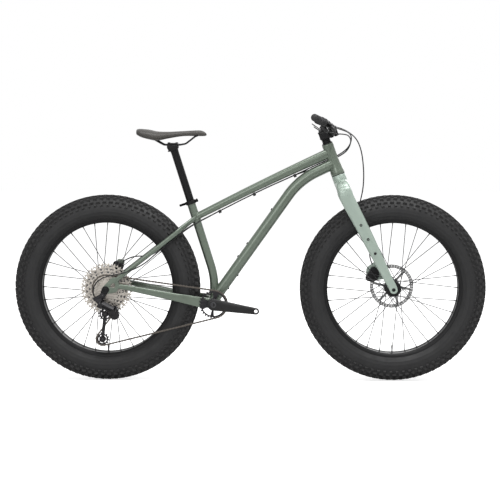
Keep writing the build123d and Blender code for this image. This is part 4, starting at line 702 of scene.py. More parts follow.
def layHose(name, points, body, node):
    curve = bpy.data.curves.new(name, "CURVE")
    curve.dimensions = "3D"
    spline = curve.splines.new("NURBS")
    spline.points.add(len(points) - 1)
    for point, spot in zip(spline.points, points):
        point.co = (*spot, 1)
    spline.order_u = 3
    spline.use_endpoint_u = True
    spline.resolution_u = 8
    curve.bevel_depth = hose["radius"]
    curve.bevel_resolution = 4
    curve.use_fill_caps = True
    curve.materials.append(hosePlastic)
    obj = addObject(name, curve)
    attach(obj, body)
    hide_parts(node)


layHose("frontHose", frontHosePoints, "steering", "front_hose")
layHose("brakeLoop", brakeLoopPoints, "steering", "loop_hoses")
layHose("shiftLoop", shiftLoopPoints, "steering", "loop_hoses")
layHose("brakeFrameRun", brakeFramePoints, "frame", "frame_hoses")
layHose("shiftFrameRun", shiftFramePoints, "frame", "frame_hoses")
print("hoses laid")

# tyres: a smooth casing with moulded rings, and one pitch of knobs repeated
tyre = {
    "radius": 381.0, "half": 60.0, "base": 373.5, "fall": 46, "pitches": 84, "segments": 144,
    "knobs": (  # across, place along the pitch, length, width, height, lean, turn
        (6.5, 0.0, 17.0, 9.5, 7.2, 0, 12), (21.0, 0.5, 13.5, 12.5, 7.2, 4, -10),
        (35.5, 0.0, 15.0, 10.5, 7.6, 12, 8),
        (47.5, 0.5, 17.0, 8.5, 7.4, 34, 0), (54.5, 0.0, 11.5, 7.5, 5.2, 52, 0),
    ),
    "foot": 2.5, "edge": 0.9, "taper": (1.0, 0.86, 0.78),  # buried foot, worn edge, sizes from foot to top
    "wall": [  # across and radius, from the shoulder down to the bead
        (60.0, 322), (59.6, 316), (60.2, 314.5), (59.4, 312.5), (58.6, 306), (57.2, 302), (57.4, 300.5),
        (55.6, 298.5), (51.5, 291.5), (47.0, 286.5), (43.0, 283.0), (40.6, 284.2), (38.5, 286.5), (36.0, 281),
    ],
    "inside": [
        (32.0, 281.0), (34.0, 286.0), (46.0, 292.0), (53.0, 305.0), (55.0, 322.0), (48.0, 346.0),
        (25.0, 364.0), (0.0, 367.0),
    ],
}


# Radius of the tread's base at a place across the tyre
def tyreCrown(y):
    share = min(abs(y) / tyre["half"], 1.0)
    return tyre["base"] - tyre["fall"] * share**3.2


# A tapered block standing on the casing at the top of the wheel
def knob(y, along, length, width, height, lean, turn):
    block = bmesh.new()
    rows = []
    for lift, size in zip((-tyre["foot"], height - tyre["edge"], height), tyre["taper"]):
        corners = ((-1, -1), (1, -1), (1, 1), (-1, 1))
        rows.append([
            block.verts.new((a * length / 2 * size, b * width / 2 * size, lift)) for a, b in corners
        ])
    for low, high in zip(rows, rows[1:]):
        for k in range(4):
            block.faces.new((low[k - 1], low[k], high[k], high[k - 1]))
    block.faces.new(rows[-1])
    block.faces.new(rows[0])
    bmesh.ops.recalc_face_normals(block, faces=block.faces)
    stand = Matrix.Translation((along, y, tyreCrown(y))) @ Matrix.Rotation(radians(-lean), 4, "X")
    bmesh.ops.transform(block, matrix=stand @ Matrix.Rotation(radians(turn), 4, "Z"), verts=block.verts)
    return block


# Every knob of one pitch of the tread, on both sides of the middle
def knobPitch(axle):
    pitch = 2 * pi * tyre["radius"] / tyre["pitches"]
    parts = []
    for y, phase, length, width, height, lean, turn in tyre["knobs"]:
        for hand in (1, -1):
            shift = phase + (0.5 if hand < 0 else 0.0)
            block = knob(
                hand * y, ((shift % 1.0) - 0.25) * pitch, length, width, height, hand * lean, hand * turn,
            )
            bmesh.ops.translate(block, vec=axle, verts=block.verts)
            parts.append(block)
    return parts


def casing(axle):
    wall, inside = tyre["wall"], tyre["inside"]
    line = [(y, tyreCrown(y)) for y in range(-58, 59, 4)] + wall + inside
    line += [(-y, r) for y, r in reversed(inside[:-1])] + [(-y, r) for y, r in reversed(wall)]
    mesh = turned(line, Vector((0, 0, 0)), crosswise, tyre["segments"], loop=True)
    bmesh.ops.translate(mesh, vec=axle, verts=mesh.verts)
    return mesh


def makeTyre(end, axle):
    knobs = repeated(f"{end}Knobs", knobPitch(axle), tyre["pitches"], axle, knobRubber)
    dress(knobs, f"{end}_wheel", knobRubber, (f"{end}_tyre",), sharp=30)
    makePiece(f"{end}Casing", [casing(axle)], f"{end}_wheel", casingRubber, (f"{end}_tyre",), sharp=50)


# rims, spokes, hubs and rotors
rim = {
    "floor": 267.5, "segments": 128,
    "half": [  # across and radius of one side, from the middle channel to the hook
        (-12.0, 267.6), (-31.5, 267.6), (-34.6, 268.8), (-37.4, 272.2), (-40.2, 278.5), (-41.0, 281.5),
        (-41.0, 285.6),
    ],
    "channel": [(-10.0, 269.2), (10.0, 269.2)],
    "bed": [(40.0, 286.2), (38.6, 285.6), (37.6, 280.0), (34.0, 276.5)],
    "valve": [(0, 3.0), (4, 3.0), (4.2, 2.7), (19, 2.7), (19.5, 3.3), (31, 3.2), (33, 2.2), (34, 1.6)],
    "nut": [(0, 4.8), (3.5, 4.8), (4.2, 4.2)],
}
spoke = {
    "count": 32, "radius": 1.5, "flangeCircle": 29.0, "lead": radians(67.5), "lean": 1.5, "room": 3.1,
    "rimY": 9.0,
    "head": [(0, 1.9), (0.9, 1.9), (1.2, 1.2)],
    "nipple": [(0, 1.3), (0.4, 2.0), (10.2, 2.0), (10.4, 2.9), (12, 2.9)],
}


def makeRim(end, axle):
    side = list(reversed(rim["half"]))
    line = side + rim["channel"] + [(-y, r) for y, r in reversed(side)] + rim["bed"]
    line += [(-y, r) for y, r in reversed(rim["bed"])]
    hoop = turned(line, Vector((0, 0, 0)), crosswise, rim["segments"], loop=True)
    bmesh.ops.translate(hoop, vec=axle, verts=hoop.verts)
    foot = axle - upright * (rim["floor"] + 3)
    valve = turned(rim["valve"], foot, upright, 16)
    nut = turned(rim["nut"], foot, upright, 6)
    makePiece(f"{end}Rim", [hoop], f"{end}_wheel", blackAlloy, (f"{end}_rim",), sharp=45)
    makePiece(f"{end}Valve", [valve, nut], f"{end}_wheel", boltSteel, (f"{end}_rim",))


# Each set's place across the hub, its side of the flange, its phase at the hub,
# its lead to the rim and its place across the rim
def spokeSets(flangeLeft, flangeRight):
    step = 2 * pi / (spoke["count"] // 4)
    inside, outside = spoke["room"], spoke["room"] + spoke["lean"]
    lead, rimY = spoke["lead"], spoke["rimY"]
    return (
        (flangeLeft + outside, -1, 0.0, lead, rimY),
        (flangeLeft - inside, 1, step / 2, -lead, rimY),
        (-flangeRight - outside, 1, step / 4, lead, -rimY),
        (-flangeRight + inside, -1, 3 * step / 4, -lead, -rimY),
    )


def makeSpokes(end, axle, flangeLeft, flangeRight):
    wires, nipples = [], []
    for hubY, inward, phase, lead, rimY in spokeSets(flangeLeft, flangeRight):
        ring, reach = spoke["flangeCircle"], rim["floor"] - 0.4
        start = axle + Vector((ring * cos(phase), hubY, ring * sin(phase)))
        stop = axle + Vector((reach * cos(phase + lead), rimY, reach * sin(phase + lead)))
        run = (stop - start).normalized()
        elbow = start + crosswise * inward * 2.6
        bend = [elbow, start + crosswise * inward * 0.9, start + run * 0.9, stop - run * 10]
        wires.append(tube(bend, (2 * spoke["radius"], 2 * spoke["radius"]), sides=8))
        wires.append(turned(spoke["head"], elbow + crosswise * inward * 2.2, -crosswise * inward, 8))
        nipples.append(turned(spoke["nipple"], stop - run * 12, run, 8))
    turns = spoke["count"] // 4
    for name, parts, finish in (("Spokes", wires, spokeSteel), ("Nipples", nipples, blackAlloy)):
        piece = repeated(end + name, parts, turns, axle, finish)
        dress(piece, f"{end}_wheel", finish, (f"{end}_spokes",), sharp=50)


hub = {
    "flange": [(-1.9, 32.4), (-1.2, 33.0), (1.2, 33.0), (1.9, 32.4)],
    "neck": [(-16, 17.0), (-8, 19.5), (-2.6, 27.0)],
    "rotorSeat": [
        (-3, 20.5), (-1.0, 22.0), (-0.95, 17.2), (2.4, 17.2), (2.8, 16.6), (3.0, 12.4),
    ],
    "lockRing": [(0.95, 21.0), (1.2, 21.5), (2.7, 21.5), (3.2, 20.8), (3.2, 14.0), (0.95, 14.0)],
    "segments": 64,
}


# Hub shell turned across the bike from the right face to the left, with its flanges and the rotor's seat
def makeHub(end, axle, left, right, flangeLeft, flangeRight, rotorY):
    near, far = -flangeRight, flangeLeft
    if right > near - 12:  # the cassette's side has no neck outside its flange
        rows = [(right, 16.0), (right + 1, 19.5)]
    else:
        rows = [(right, 11.2), (right + 0.8, 12.0), (near - 10, 12.5), (near - 5, 19.0)]
    rows += [(near - 3.0, 27.5)] + [(near + y, r) for y, r in hub["flange"]]
    rows += [(near - y, r) for y, r in reversed(hub["neck"])]
    rows += [(far + y, r) for y, r in hub["neck"] + hub["flange"]] + [(far + 2.6, 26.0), (far + 5.0, 21.0)]
    rows += [(rotorY + y, r) for y, r in hub["rotorSeat"]] + [(left - 0.8, 12.0), (left, 11.2)]
    body = turned(rows, axle, crosswise, hub["segments"])
    makePiece(f"{end}Hub", [body], f"{end}_wheel", blackAlloy, (f"{end}_hub",), sharp=32)
    lockRing = turned([(rotorY + y, r) for y, r in hub["lockRing"]], axle, crosswise, 48, loop=True)
    makePiece(f"{end}LockRing", [lockRing], f"{end}_wheel", boltSteel, (f"{end}_rotor",))


rotor = {
    "band": 14.5, "thick": 1.8, "bevel": 0.15, "holes": 48, "holeRows": ((-1.9, 1.9), (-3.8, 0.0, 3.8)),
    "hole": 1.25,
    "carrier": 26, "bore": 17.6, "bolts": 6, "boltCircle": 22, "boltHole": 1.6, "arms": 6,
}


def makeRotor(end, axle, y, radius):
    centre = sideOn(y + 0.95, axle.x, axle.z)
    inner = radius - rotor["band"]
    middle = radius - rotor["band"] / 2

    def sheet(outlines):
        return plate(outlines, centre, rotor["thick"], rotor["bevel"], 0)

    brakeBand = [ringOf(0, 0, radius, 96), ringOf(0, 0, inner, 96)]
    for k in range(rotor["holes"]):
        turn = 2 * pi * k / rotor["holes"]
        for shift in rotor["holeRows"][k % 2]:
            brakeBand.append(ringOf(
                (middle + shift) * cos(turn), (middle + shift) * sin(turn), rotor["hole"], 8,
            ))
    carrier = [ringOf(0, 0, rotor["carrier"], 48), ringOf(0, 0, rotor["bore"], 48)]
    for k in range(rotor["bolts"]):
        turn = pi * (k + 0.5) / 3
        carrier.append(ringOf(
            rotor["boltCircle"] * cos(turn), rotor["boltCircle"] * sin(turn), rotor["boltHole"], 8,
        ))
    parts = [sheet(brakeBand), sheet(carrier)]
    makePiece(f"{end}RotorBand", parts, f"{end}_wheel", rotorSteel, (f"{end}_rotor",), sharp=30)
    armLine = [(22, -5.5), (36, -8.5), (inner + 2, -19), (inner + 2, -8), (44, -1), (24, 4.5)]
    arms = repeated(f"{end}RotorArms", [sheet([roundOff(armLine, 4)])], rotor["arms"], axle, rotorSteel)
    dress(arms, f"{end}_wheel", rotorSteel, (f"{end}_rotor",), sharp=30)


wheels = (  # end, axle, faces to the left and right, flanges to the left and right, rotor's place and radius
    ("front", frontAxle, 75.0, -75.0, 34.0, 46.0, 60.0, 90.0),
    ("rear", rearAxle, 98.5, -50.0, 48.0, 44.0, 84.0, 80.0),
)
for end, axle, left, right, flangeLeft, flangeRight, rotorY, rotorRadius in wheels:
    makeTyre(end, axle)
    makeRim(end, axle)
    makeSpokes(end, axle, flangeLeft, flangeRight)
    makeHub(end, axle, left, right, flangeLeft, flangeRight, rotorY)
    makeRotor(end, axle, rotorY, rotorRadius)
print("wheels made")

# frame tubes
tubes = {
    "sides": 40,
    "head": [  # place along the steerer and radius
        (514, 28.0), (515, 28.4), (527, 28.4), (529, 27.4), (545, 25.6), (572, 23.4), (600, 22.8),
        (630, 22.9), (632, 23.6), (643, 23.6), (644, 23.2),
    ],
    "top": [[0, 38, 42], [0.2, 38, 38], [0.55, 39, 33], [1.0, 35, 29]],  # share of the way back, width, depth
    "topSag": 20, "topFront": 94, "topBack": (-66, 4),
    "down": 45.0, "downAngle": radians(54.6), "downRun": 617, "downBend": 340, "downSet": 9.5, "downTop": 47,
    "seat": 35.0, "seatBend": 290,
    "shell": [(-50, 21.0), (-50, 22.6), (-49.6, 23.0), (49.6, 23.0), (50, 22.6), (50, 21.0)],
}


# Each station holds what toPoint reads, and ends in a width and a depth
def stationTube(stations, toPoint, steps=6, square=2.4, xDir=crosswise):
    rows = smoothRows(stations, steps)
    points = [toPoint(row) for row in rows]
    return tube(points, [(row[-2], row[-1]) for row in rows], square, tubes["sides"], xDir)


topFront = onSteerer(headBottom + tubes["topFront"])
topBack = onPost(*tubes["topBack"])


def topPoint(row):
    return topFront.lerp(topBack, row[0]) + upright * (tubes["topSag"] * row[0] * (1 - row[0]))


def bentTube(corners, bend, steps, spacing, size, square):
    path = spread(filletPath(corners, bend, steps), spacing)
    return path, tube(path, (size, size), square, tubes["sides"], crosswise)


headTube = turned(tubes["head"], steerFoot, steerUp, 64)
topTube = stationTube(tubes["top"], topPoint, 10, 2.7)
downStart = bottomBracket - forward * tubes["downSet"]
downDir = Vector((cos(tubes["downAngle"]), 0, sin(tubes["downAngle"])))
downCorners = [downStart, downStart + downDir * tubes["downRun"], onSteerer(headBottom + tubes["downTop"])]
downPath, downTube = bentTube(downCorners, tubes["downBend"], 16, 14, tubes["down"], 2.25)
seatPath, seatTube = bentTube(
    [bottomBracket, seatBend, seatTop], tubes["seatBend"], 14, 12, tubes["seat"], 2.0,
)
shell = turned(tubes["shell"], bottomBracket, crosswise, 64)

weld = {"radius": 2.2, "ripple": 0.5, "round": 8, "steps": 96, "reach": 18}


# A weld bead with overlapping ripples, closed round a joint
def bead(path):
    rings = []
    for k, point in enumerate(path):
        run = (path[(k + 1) % len(path)] - path[k - 1]).normalized()
        side = run.cross(forward if abs(run.x) < 0.8 else upright).normalized()
        other = run.cross(side)
        size = weld["radius"] + weld["ripple"] * (1 if k % 2 else -1) / 2
        turns = [2 * pi * j / weld["round"] for j in range(weld["round"])]
        rings.append([point + side * size * cos(turn) + other * size * sin(turn) for turn in turns])
    return skin(rings, loop=True)


# Where a tube's outline meets other pieces, found by looking along the tube
def jointPath(parts, centre, width, depth, run):
    solids = [BVHTree.FromBMesh(part) for part in parts]
    other = run.cross(crosswise).normalized()
    path = []
    for a, b in oval(width, depth, 2.4, weld["steps"]):
        start = centre + crosswise * a + other * b - run * weld["reach"]
        hits = [solid.ray_cast(start, run, 4 * weld["reach"]) for solid in solids]
        hits = [hit for hit in hits if hit[0] is not None]
        if hits:
            path.append(min(hits, key=lambda hit: hit[3])[0])
    return path


beads = []
for run, centre, width, depth, others in (
    ((topFront - topPoint([0.1])).normalized(), topPoint([0.12]), 38.5, 42.5, [headTube]),
    ((topBack - topPoint([0.94])).normalized(), topPoint([0.95]), 35.5, 29.5, [seatTube]),
    ((downPath[-1] - downPath[-4]).normalized(), downPath[-4], 45.5, 45.5, [headTube, topTube]),
    (-downDir, downStart + downDir * 80, 45.5, 45.5, [shell, seatTube]),
    (-upright, seatPath[5], 35.5, 35.5, [shell]),
):
    path = jointPath(others, centre, width, depth, run)
    if len(path) > 60:
        beads.append(bead(path))
for name, parts, node, sharp in (
    ("headTube", [headTube], "head_tube", 45), ("topTube", [topTube], "top_tube", 60),
    ("downTube", [downTube], "down_tube", 60), ("seatTube", [seatTube], "seat_tube", 60),
    ("bracketShell", [shell], "bottom_bracket_shell", 45), ("weldBeads", beads, "head_tube", 80),
):
    makePiece(name, parts, "frame", framePaint, (node,), sharp=sharp)

# stays, dropouts and hanger
bbX, bbZ, rearX, rearZ = bottomBracket.x, bottomBracket.z, rearAxle.x, rearAxle.z
stays = {
    "chain": [  # place along, inner and outer face across, low, high
        [bbX + 6, 30, 50, bbZ - 20, bbZ + 20], [bbX - 28, 36, 60, bbZ - 17, bbZ + 24],
        [bbX - 56, 61.5, 69.5, bbZ - 13, bbZ + 29], [bbX - 110, 61.5, 69.5, bbZ, bbZ + 38],
        [bbX - 157, 64, 80, bbZ + 12.5, bbZ + 45.5], [rearX + 88, 88, 104, rearZ - 3, rearZ + 19],
        [rearX + 50, 93, 106.5, rearZ + 4, rearZ + 22],
    ],
    "seat": [  # place along, inner and outer face across
        (-222, 4, 28), (-243, 15, 37), (-285, 52, 72), (-322, 65, 83), (-400, 76, 94), (-500, 91, 107),
        (rearX + 46, 96, 108),
    ],
    "seatTop": 668.8, "seatSlope": 0.7785, "seatHalf": 12.04,
}


def stay(rows, square):
    rings = []
    for x, inner, outer, low, high in smoothRows(rows, 6):
        centre = Vector((x, (inner + outer) / 2, (low + high) / 2))
        rings.append([
            centre + Vector((0, a, b)) for a, b in oval(outer - inner, high - low, square, tubes["sides"])
        ])
    return skin(rings)


seatStayRows = []
for x, inner, outer in stays["seat"]:
    middle = stays["seatTop"] + (x - stays["seat"][0][0]) * stays["seatSlope"]
    seatStayRows.append([x, inner, outer, middle - stays["seatHalf"], middle + stays["seatHalf"]])
for name, rows, square, node in (
    ("chainStays", stays["chain"], 3.2, "chain_stays"), ("seatStays", seatStayRows, 2.6, "seat_stays"),
):
    left = stay(rows, square)
    makePiece(name, [flip(left), left], "frame", framePaint, (node,), sharp=60)

dropout = {
    "outline": (
        (-14, -6), (-14, 8), (-4, 18), (26, 50), (46, 52), (54, 36), (56, 14), (46, -10), (12, -16),
        (-6, -15),
    ),
    "window": ((16, 10), (38, 8), (40, 24), (30, 28)),
    "tab": ((24, 46), (20, 84), (32, 108), (58, 104), (60, 90), (46, 68), (44, 50)),
    "left": 106.5, "right": -98.5, "thick": 8, "bevel": 1.2, "axleHole": 7.6,
}


def dropoutPlate(outlines, face):
    return plate(outlines, sideOn(face, rearX, rearZ), dropout["thick"], dropout["bevel"], 2)


plates = []
for face in (dropout["left"], dropout["right"]):
    holes = [roundOff(dropout["window"], 5), ringOf(0, 0, dropout["axleHole"], 32)]
    plates.append(dropoutPlate([roundOff(dropout["outline"], 9, 6), *holes], face))
plates.append(dropoutPlate([roundOff(dropout["tab"], 7, 5)], dropout["left"]))
makePiece("dropouts", plates, "frame", framePaint, ("dropouts",), sharp=40)

hangerShape = {
    "foot": (-12, -27), "eye": 15, "end": 11, "thread": 5.1, "face": -106.5, "thick": 6, "bevel": 0.8,
}
hull = bmesh.new()
for x, y in ringOf(0, 0, hangerShape["eye"], 36) + ringOf(*hangerShape["foot"], hangerShape["end"], 36):
    hull.verts.new((x, y, 0))
bmesh.ops.convex_hull(hull, input=hull.verts)
outline = sorted(
    {(round(v.co.x, 4), round(v.co.y, 4)) for v in hull.verts if v.link_edges},
    key=lambda point: atan2(point[1] + 12, point[0] + 5),
)
hull.free()
hangerHoles = [ringOf(0, 0, dropout["axleHole"], 32), ringOf(*hangerShape["foot"], hangerShape["thread"], 24)]
hangerGrid = sideOn(hangerShape["face"], rearX, rearZ)
hanger = plate([outline, *hangerHoles], hangerGrid, hangerShape["thick"], hangerShape["bevel"], 2)
makePiece("hanger", [hanger], "frame", blackAlloy, ("derailleur_hanger",), sharp=40)

# bearings, collar, guides and axles
bearings = {
    "upper": [(632, 14.4), (632, 20.5), (643.6, 20.5), (643.6, 14.4)],
    "lower": [(511.5, 19.1), (511.5, 27.6), (513.9, 28.0), (513.9, 19.1)],
    "cup": [(38, 14.6), (38, 20.4), (50, 20.4), (50, 22.0), (51, 22.4), (57, 22.2), (58, 21.4), (58, 14.6)],
}
bearingRings = [
    turned(bearings["upper"], steerFoot, steerUp, 48, loop=True),
    turned(bearings["lower"], steerFoot, steerUp, 64, loop=True),
]
for hand in (1, -1):
    bearingRings.append(turned(bearings["cup"], bottomBracket, crosswise * hand, 64, loop=True))
makePiece("bearings", bearingRings, "frame", blackAlloy, ("frame_bearings",), sharp=32)

collar = {
    "band": [
        (-10, 17.6), (-10, 20.9), (-9.2, 21.6), (4.2, 21.6), (5, 20.9), (5, 17.6), (1, 17.6), (-6, 17.6),
    ],
    "nut": [(0, 5.2), (0.6, 6.0), (3.8, 6.0), (4.5, 5.2)],
    "cradle": [(22, 5), (30, 5), (30, 17), (22, 17)],
    "ahead": 26, "earOut": 4.6, "earHalf": 3.2,
    "lever": [
        (4.5, -1.8), (3.5, 3.5), (-4, 13), (-26, 16), (-48, 12), (-76, -4), (-74, -8), (-48, 5),
        (-26, 10.5), (-8, 8), (-4.5, -1.8), (-2, -4.5), (2, -4.5),
    ],
}


def collarPlate(outlines, low, ahead, y, thick, bevel, soft):
    return plate(outlines, place(onPost(low, ahead, y), seatAhead, seatUp), thick, bevel, soft)


ahead = collar["ahead"]
collarParts = [turned(collar["band"], seatTop, seatUp, 56, loop=True)]
for hand in (1, -1):
    low, high = hand * collar["earOut"] - collar["earHalf"], hand * collar["earOut"] + collar["earHalf"]
    ear = [(15, low), (31, low), (31, high), (15, high)]
    collarParts.append(collarPlate([roundOff(ear, 2)], -7, 0, 0, 9, 0.8, 2))
collarParts += [
    rod(onPost(-2.5, ahead, 7.6), onPost(-2.5, ahead, -13), 2.5),
    turned(collar["nut"], onPost(-2.5, ahead, -8.5), -crosswise, 32),
    collarPlate([roundOff(collar["cradle"], 3)], -9, 0, 0, 1.4, 0.3, 1),
    rod(onPost(-9, ahead, 13), onPost(5, ahead, 13), 3.0),
]
makePiece("collar", collarParts, "frame", blackAlloy, ("seat_collar",), sharp=35)
qrLever = collarPlate([roundOff(collar["lever"], 4, 4), ringOf(0, 0, 3.1, 20)], -7.5, ahead, 13, 10, 1.6, 3)
makePiece("quickLever", [qrLever], "qr_lever", blackAlloy, ("qr_lever",), sharp=45)

fitting = {
    "guides": ((182.5, 842.5), (16.4, 766.0), (-124.0, 695.5)), "slope": radians(26),
    "guide": [(-10.5, -9), (10.5, -9), (10.5, 4.0), (-10.5, 4.0)], "guideLong": 12, "hose": 2.9,
    # each boss's run up the down tube, and its upper or lower face
    "bosses": ((455, 1), (283, 1), (218, 1), (153, -1), (87, -1)),
    "boss": [(-2, 5.4), (0.2, 5.4), (0.7, 4.9), (0.7, 4.5), (2.3, 4.3), (2.9, 3.4)],
    "socket": [(2.3, 2.2), (3.0, 2.2), (3.0, 1.9)],
}
fittings = []
guideRun = Vector((cos(fitting["slope"]), 0, sin(fitting["slope"])))
for x, z in fitting["guides"]:
    outlines = [
        roundOff(fitting["guide"], 3), ringOf(5, 0, fitting["hose"], 16), ringOf(-5, 0, fitting["hose"], 16),
    ]
    guideGrid = place(Vector((x, 0, z)) - guideRun * 6, crosswise, guideRun)
    fittings.append(plate(outlines, guideGrid, fitting["guideLong"], 1.0, 2))
for run, face in fitting["bosses"]:
    up = Vector((-downDir.z, 0, downDir.x)) * face
    spot = downStart + downDir * run + up * (tubes["down"] / 2)
    fittings += [turned(fitting["boss"], spot, up, 24), turned(fitting["socket"], spot, up, 6)]
makePiece("fittings", fittings, "frame", fittingBlack, ("frame_fittings",), sharp=35)

thruAxle = {
    "head": [(0, 7.4), (0.2, 9.8), (1, 10.5), (4.2, 10.5), (5, 9.7), (5, 3.6), (2.2, 3.4)],
    "ends": (("front", frontAxle, "steering", 89.0, 86.0), ("rear", rearAxle, "frame", 106.5, 113.5)),
}
for end, axle, body, outer, reach in thruAxle["ends"]:
    rows = [(-reach, 6.6), (-reach + 0.8, 7.4)] + [(outer + y, r) for y, r in thruAxle["head"]]
    makePiece(
        f"{end}ThruAxle", [turned(rows, axle, crosswise, 32)], body, blackAlloy, (f"{end}_axle",), sharp=35,
    )
print("frame made")

# fork
fork = {
    "leg": [  # place along the steerer, ahead of it and across, width, depth
        [14, 54, 82, 33, 13.4], [34, 51, 83, 34, 14], [80, 45, 84.5, 38, 20], [160, 35.2, 85.2, 44, 23.5],
        [250, 24, 86, 50, 27], [405, 2, 87, 58, 29], [430, 1, 87, 57.5, 29], [445, 1, 86.2, 55, 27.5],
        [454, 1, 85, 49, 23], [459.5, 1, 83.6, 38, 16], [462, 1, 82, 18, 7],
    ],
    "crown": [  # place across, low, high, width
        [0, 440, 492, 56], [40, 438, 488, 56], [62, 428, 479, 55], [76, 416, 466, 53], [87, 408, 450, 48],
        [93, 412, 438, 38],
    ],
    "tip": [(36, 52), (66, 52), (72, 8), (69, -11), (55, -17), (41, -11), (38, 8)],
    "mount": [(-34, 90), (-70, 100), (-104, 74), (-104, 26), (-60, 22), (-16, 30)],
    "steerer": [
        (455, 27.0), (484, 28.2), (510.2, 28.0), (511, 27.4), (511, 18.9), (534, 18.9), (534, 14.2),
        (699, 14.2), (700, 13.6),
    ],
    "bosses": (166, 230, 294), "boss": [(0, 5.5), (4.2, 5.5), (4.9, 4.8), (4.9, 2.6), (2.0, 2.4)],
}
leg = stationTube(fork["leg"], lambda row: onSteerer(*row[:3]), 8, 2.6, steerAhead)
crownRows = smoothRows([[-y, *rest] for y, *rest in fork["crown"][:0:-1]] + fork["crown"], 6)
crown = skin([
    [onSteerer((low + high) / 2 + b, 1 + a, y) for a, b in oval(width, high - low, 2.6, 48)]
    for y, low, high, width in crownRows
])
tipGrid = place(steerFoot + crosswise * 89, steerAhead, -crosswise)
tip = plate([roundOff(fork["tip"], 11, 6), ringOf(55, 0, 7.6, 32)], tipGrid, 14, 1.6, 3)
mount = plate([roundOff(fork["mount"], 10, 5)], sideOn(84, frontAxle.x, frontAxle.z), 8, 1.5, 2)
steerer = turned(fork["steerer"], steerFoot, steerUp, 56)
forkBosses = []
for run in fork["bosses"]:
    boss = turned(fork["boss"], onSteerer(run, 54 - run * 0.125, 97), crosswise, 24)
    forkBosses += [flip(boss), boss]
forkParts = [crown, flip(leg), leg, flip(tip), tip, mount, steerer]
makePiece("fork", forkParts, "steering", forkPaint, ("fork",), sharp=50)
makePiece("forkBosses", forkBosses, "steering", fittingBlack, ("fork",), sharp=35)
print("fork made")


# A socket-headed bolt standing on a face
def bolt(spot, axis, radius=3.0, height=3.0):
    rows = [(-1, radius), (height - 0.5, radius), (height, radius - 0.5), (height, radius * 0.55)]
    return turned(rows + [(height - 1.6, radius * 0.5)], Vector(spot), axis, 20)


# The mesh with the tools' shapes taken out of it
def cut(mesh, *tools):
    shells = []
    for part in (mesh, *tools):
        shell = addObject("cut", bpy.data.meshes.new("cut"))
        part.to_mesh(shell.data)
        part.free()
        shells.append(shell)
    for tool in shells[1:]:
        modifier = shells[0].modifiers.new("cut", "BOOLEAN")
        modifier.operation = "DIFFERENCE"
        modifier.solver = "EXACT"
        modifier.object = tool
    result = finishedMesh(shells[0])
    out = bmesh.new()
    out.from_mesh(result)
    bpy.data.meshes.remove(result)
    for shell in shells:
        bpy.data.objects.remove(shell)
    return out


# stem and spacers
stem = {
    "outline": [(-21, 665), (20, 665), (31, 663), (34.4, 663), (34.4, 705), (31, 705), (14, 703), (-21, 703)],
    "width": 44, "clampWidth": 54, "low": 663, "high": 705,
    "clamps": ((27.4, 6.6, 3), (45.6, 10, 8)),  # place ahead, half length, corner
    "faceBolts": (667.5, 700.5), "pinchBolts": (672, 696),
    "cap": [(703.4, 16.8), (704, 17.4), (706.4, 17.4), (707.4, 16.2), (707.4, 4), (705.8, 3.6)],
    "cover": [(644.6, 22.4), (645.4, 23.0), (648, 22.0), (650.7, 18.2), (650.7, 14.6)],
    "spacer": [(0, 16.9), (0.5, 17.5), (3.7, 17.5), (4.2, 16.9)], "spacerLow": 651.1, "spacerStep": 4.667,
}


def stemPlate(outline, width, bevel, soft):
    return plate([outline], place(onSteerer(0, 0, width / 2), steerAhead, -crosswise), width, bevel, soft)


stemParts = [stemPlate(roundOff(stem["outline"], 8, 6), stem["width"], 5, 5)]
for x, half, corner in stem["clamps"]:
    low, high = stem["low"], stem["high"]
    block = roundOff([(x - half, low), (x + half, low), (x + half, high), (x - half, high)], corner, 6)
    stemParts.append(stemPlate(block, stem["clampWidth"], 2.5, 4))
stemParts += [
    bolt(onSteerer(run, 55, y), steerAhead, 2.9, 2.4) for y in (-21, 21) for run in stem["faceBolts"]
]
stemParts += [bolt(onSteerer(run, -19, 21.5), crosswise, 3.2, 2.2) for run in stem["pinchBolts"]]
stemParts.append(turned(stem["cap"], steerFoot, steerUp, 48))
makePiece("stem", stemParts, "steering", blackAlloy, ("stem",), sharp=40)
spacers = [turned(stem["cover"], steerFoot, steerUp, 56)]
for k in range(3):
    low = stem["spacerLow"] + stem["spacerStep"] * k
    spacers.append(turned([(low + run, r) for run, r in stem["spacer"]], steerFoot, steerUp, 48))
makePiece("spacers", spacers, "steering", blackAlloy, ("headset_spacers",), sharp=32)

# bar and grips
bar = {"clamp": 15.9, "end": 11.1, "bend": (-8, 98, 27), "tip": (-66, 388, 54), "middle": (684, 35)}
grip = {
    "long": 132, "ribs": 20, "step": 6,
    "start": [(0, 13.0), (0.6, 14.6), (4, 15.4)],
    "rib": [(6, 15.6), (7.2, 16.0), (9.6, 16.0), (10.6, 15.6), (11, 15.0)],
    "end": [(127, 16.0), (131, 16.2), (134.6, 15.4), (136, 13.0), (136, 4), (135, 3)],
    "collar": [(-9, 16.6), (-8.2, 17.5), (-0.8, 17.5), (0, 16.6)],
}
barMiddle = onSteerer(*bar["middle"])
barBend, barTip = barMiddle + Vector(bar["bend"]), barMiddle + Vector(bar["tip"])
barOut = (barTip - barBend).normalized()
barHalf = [
    [*(barMiddle + crosswise * 30), bar["clamp"]],
    [*(barMiddle.lerp(barBend, 0.62) + Vector((2, 0, -3))), 13.4],
    *[[*spot, bar["end"]] for spot in (barBend, barBend + barOut * 30, barTip)],
]
barRows = smoothRows([[x, -y, z, r] for x, y, z, r in reversed(barHalf)] + barHalf, 8)
barTube = tube(
    [Vector(row[:3]) for row in barRows], [(2 * row[3], 2 * row[3]) for row in barRows], 2.0, 32, upright,
)
makePiece("handlebar", [barTube], "steering", blackAlloy, ("handlebar",), sharp=50)
ribs = [(run + grip["step"] * k, r) for k in range(grip["ribs"]) for run, r in grip["rib"]]
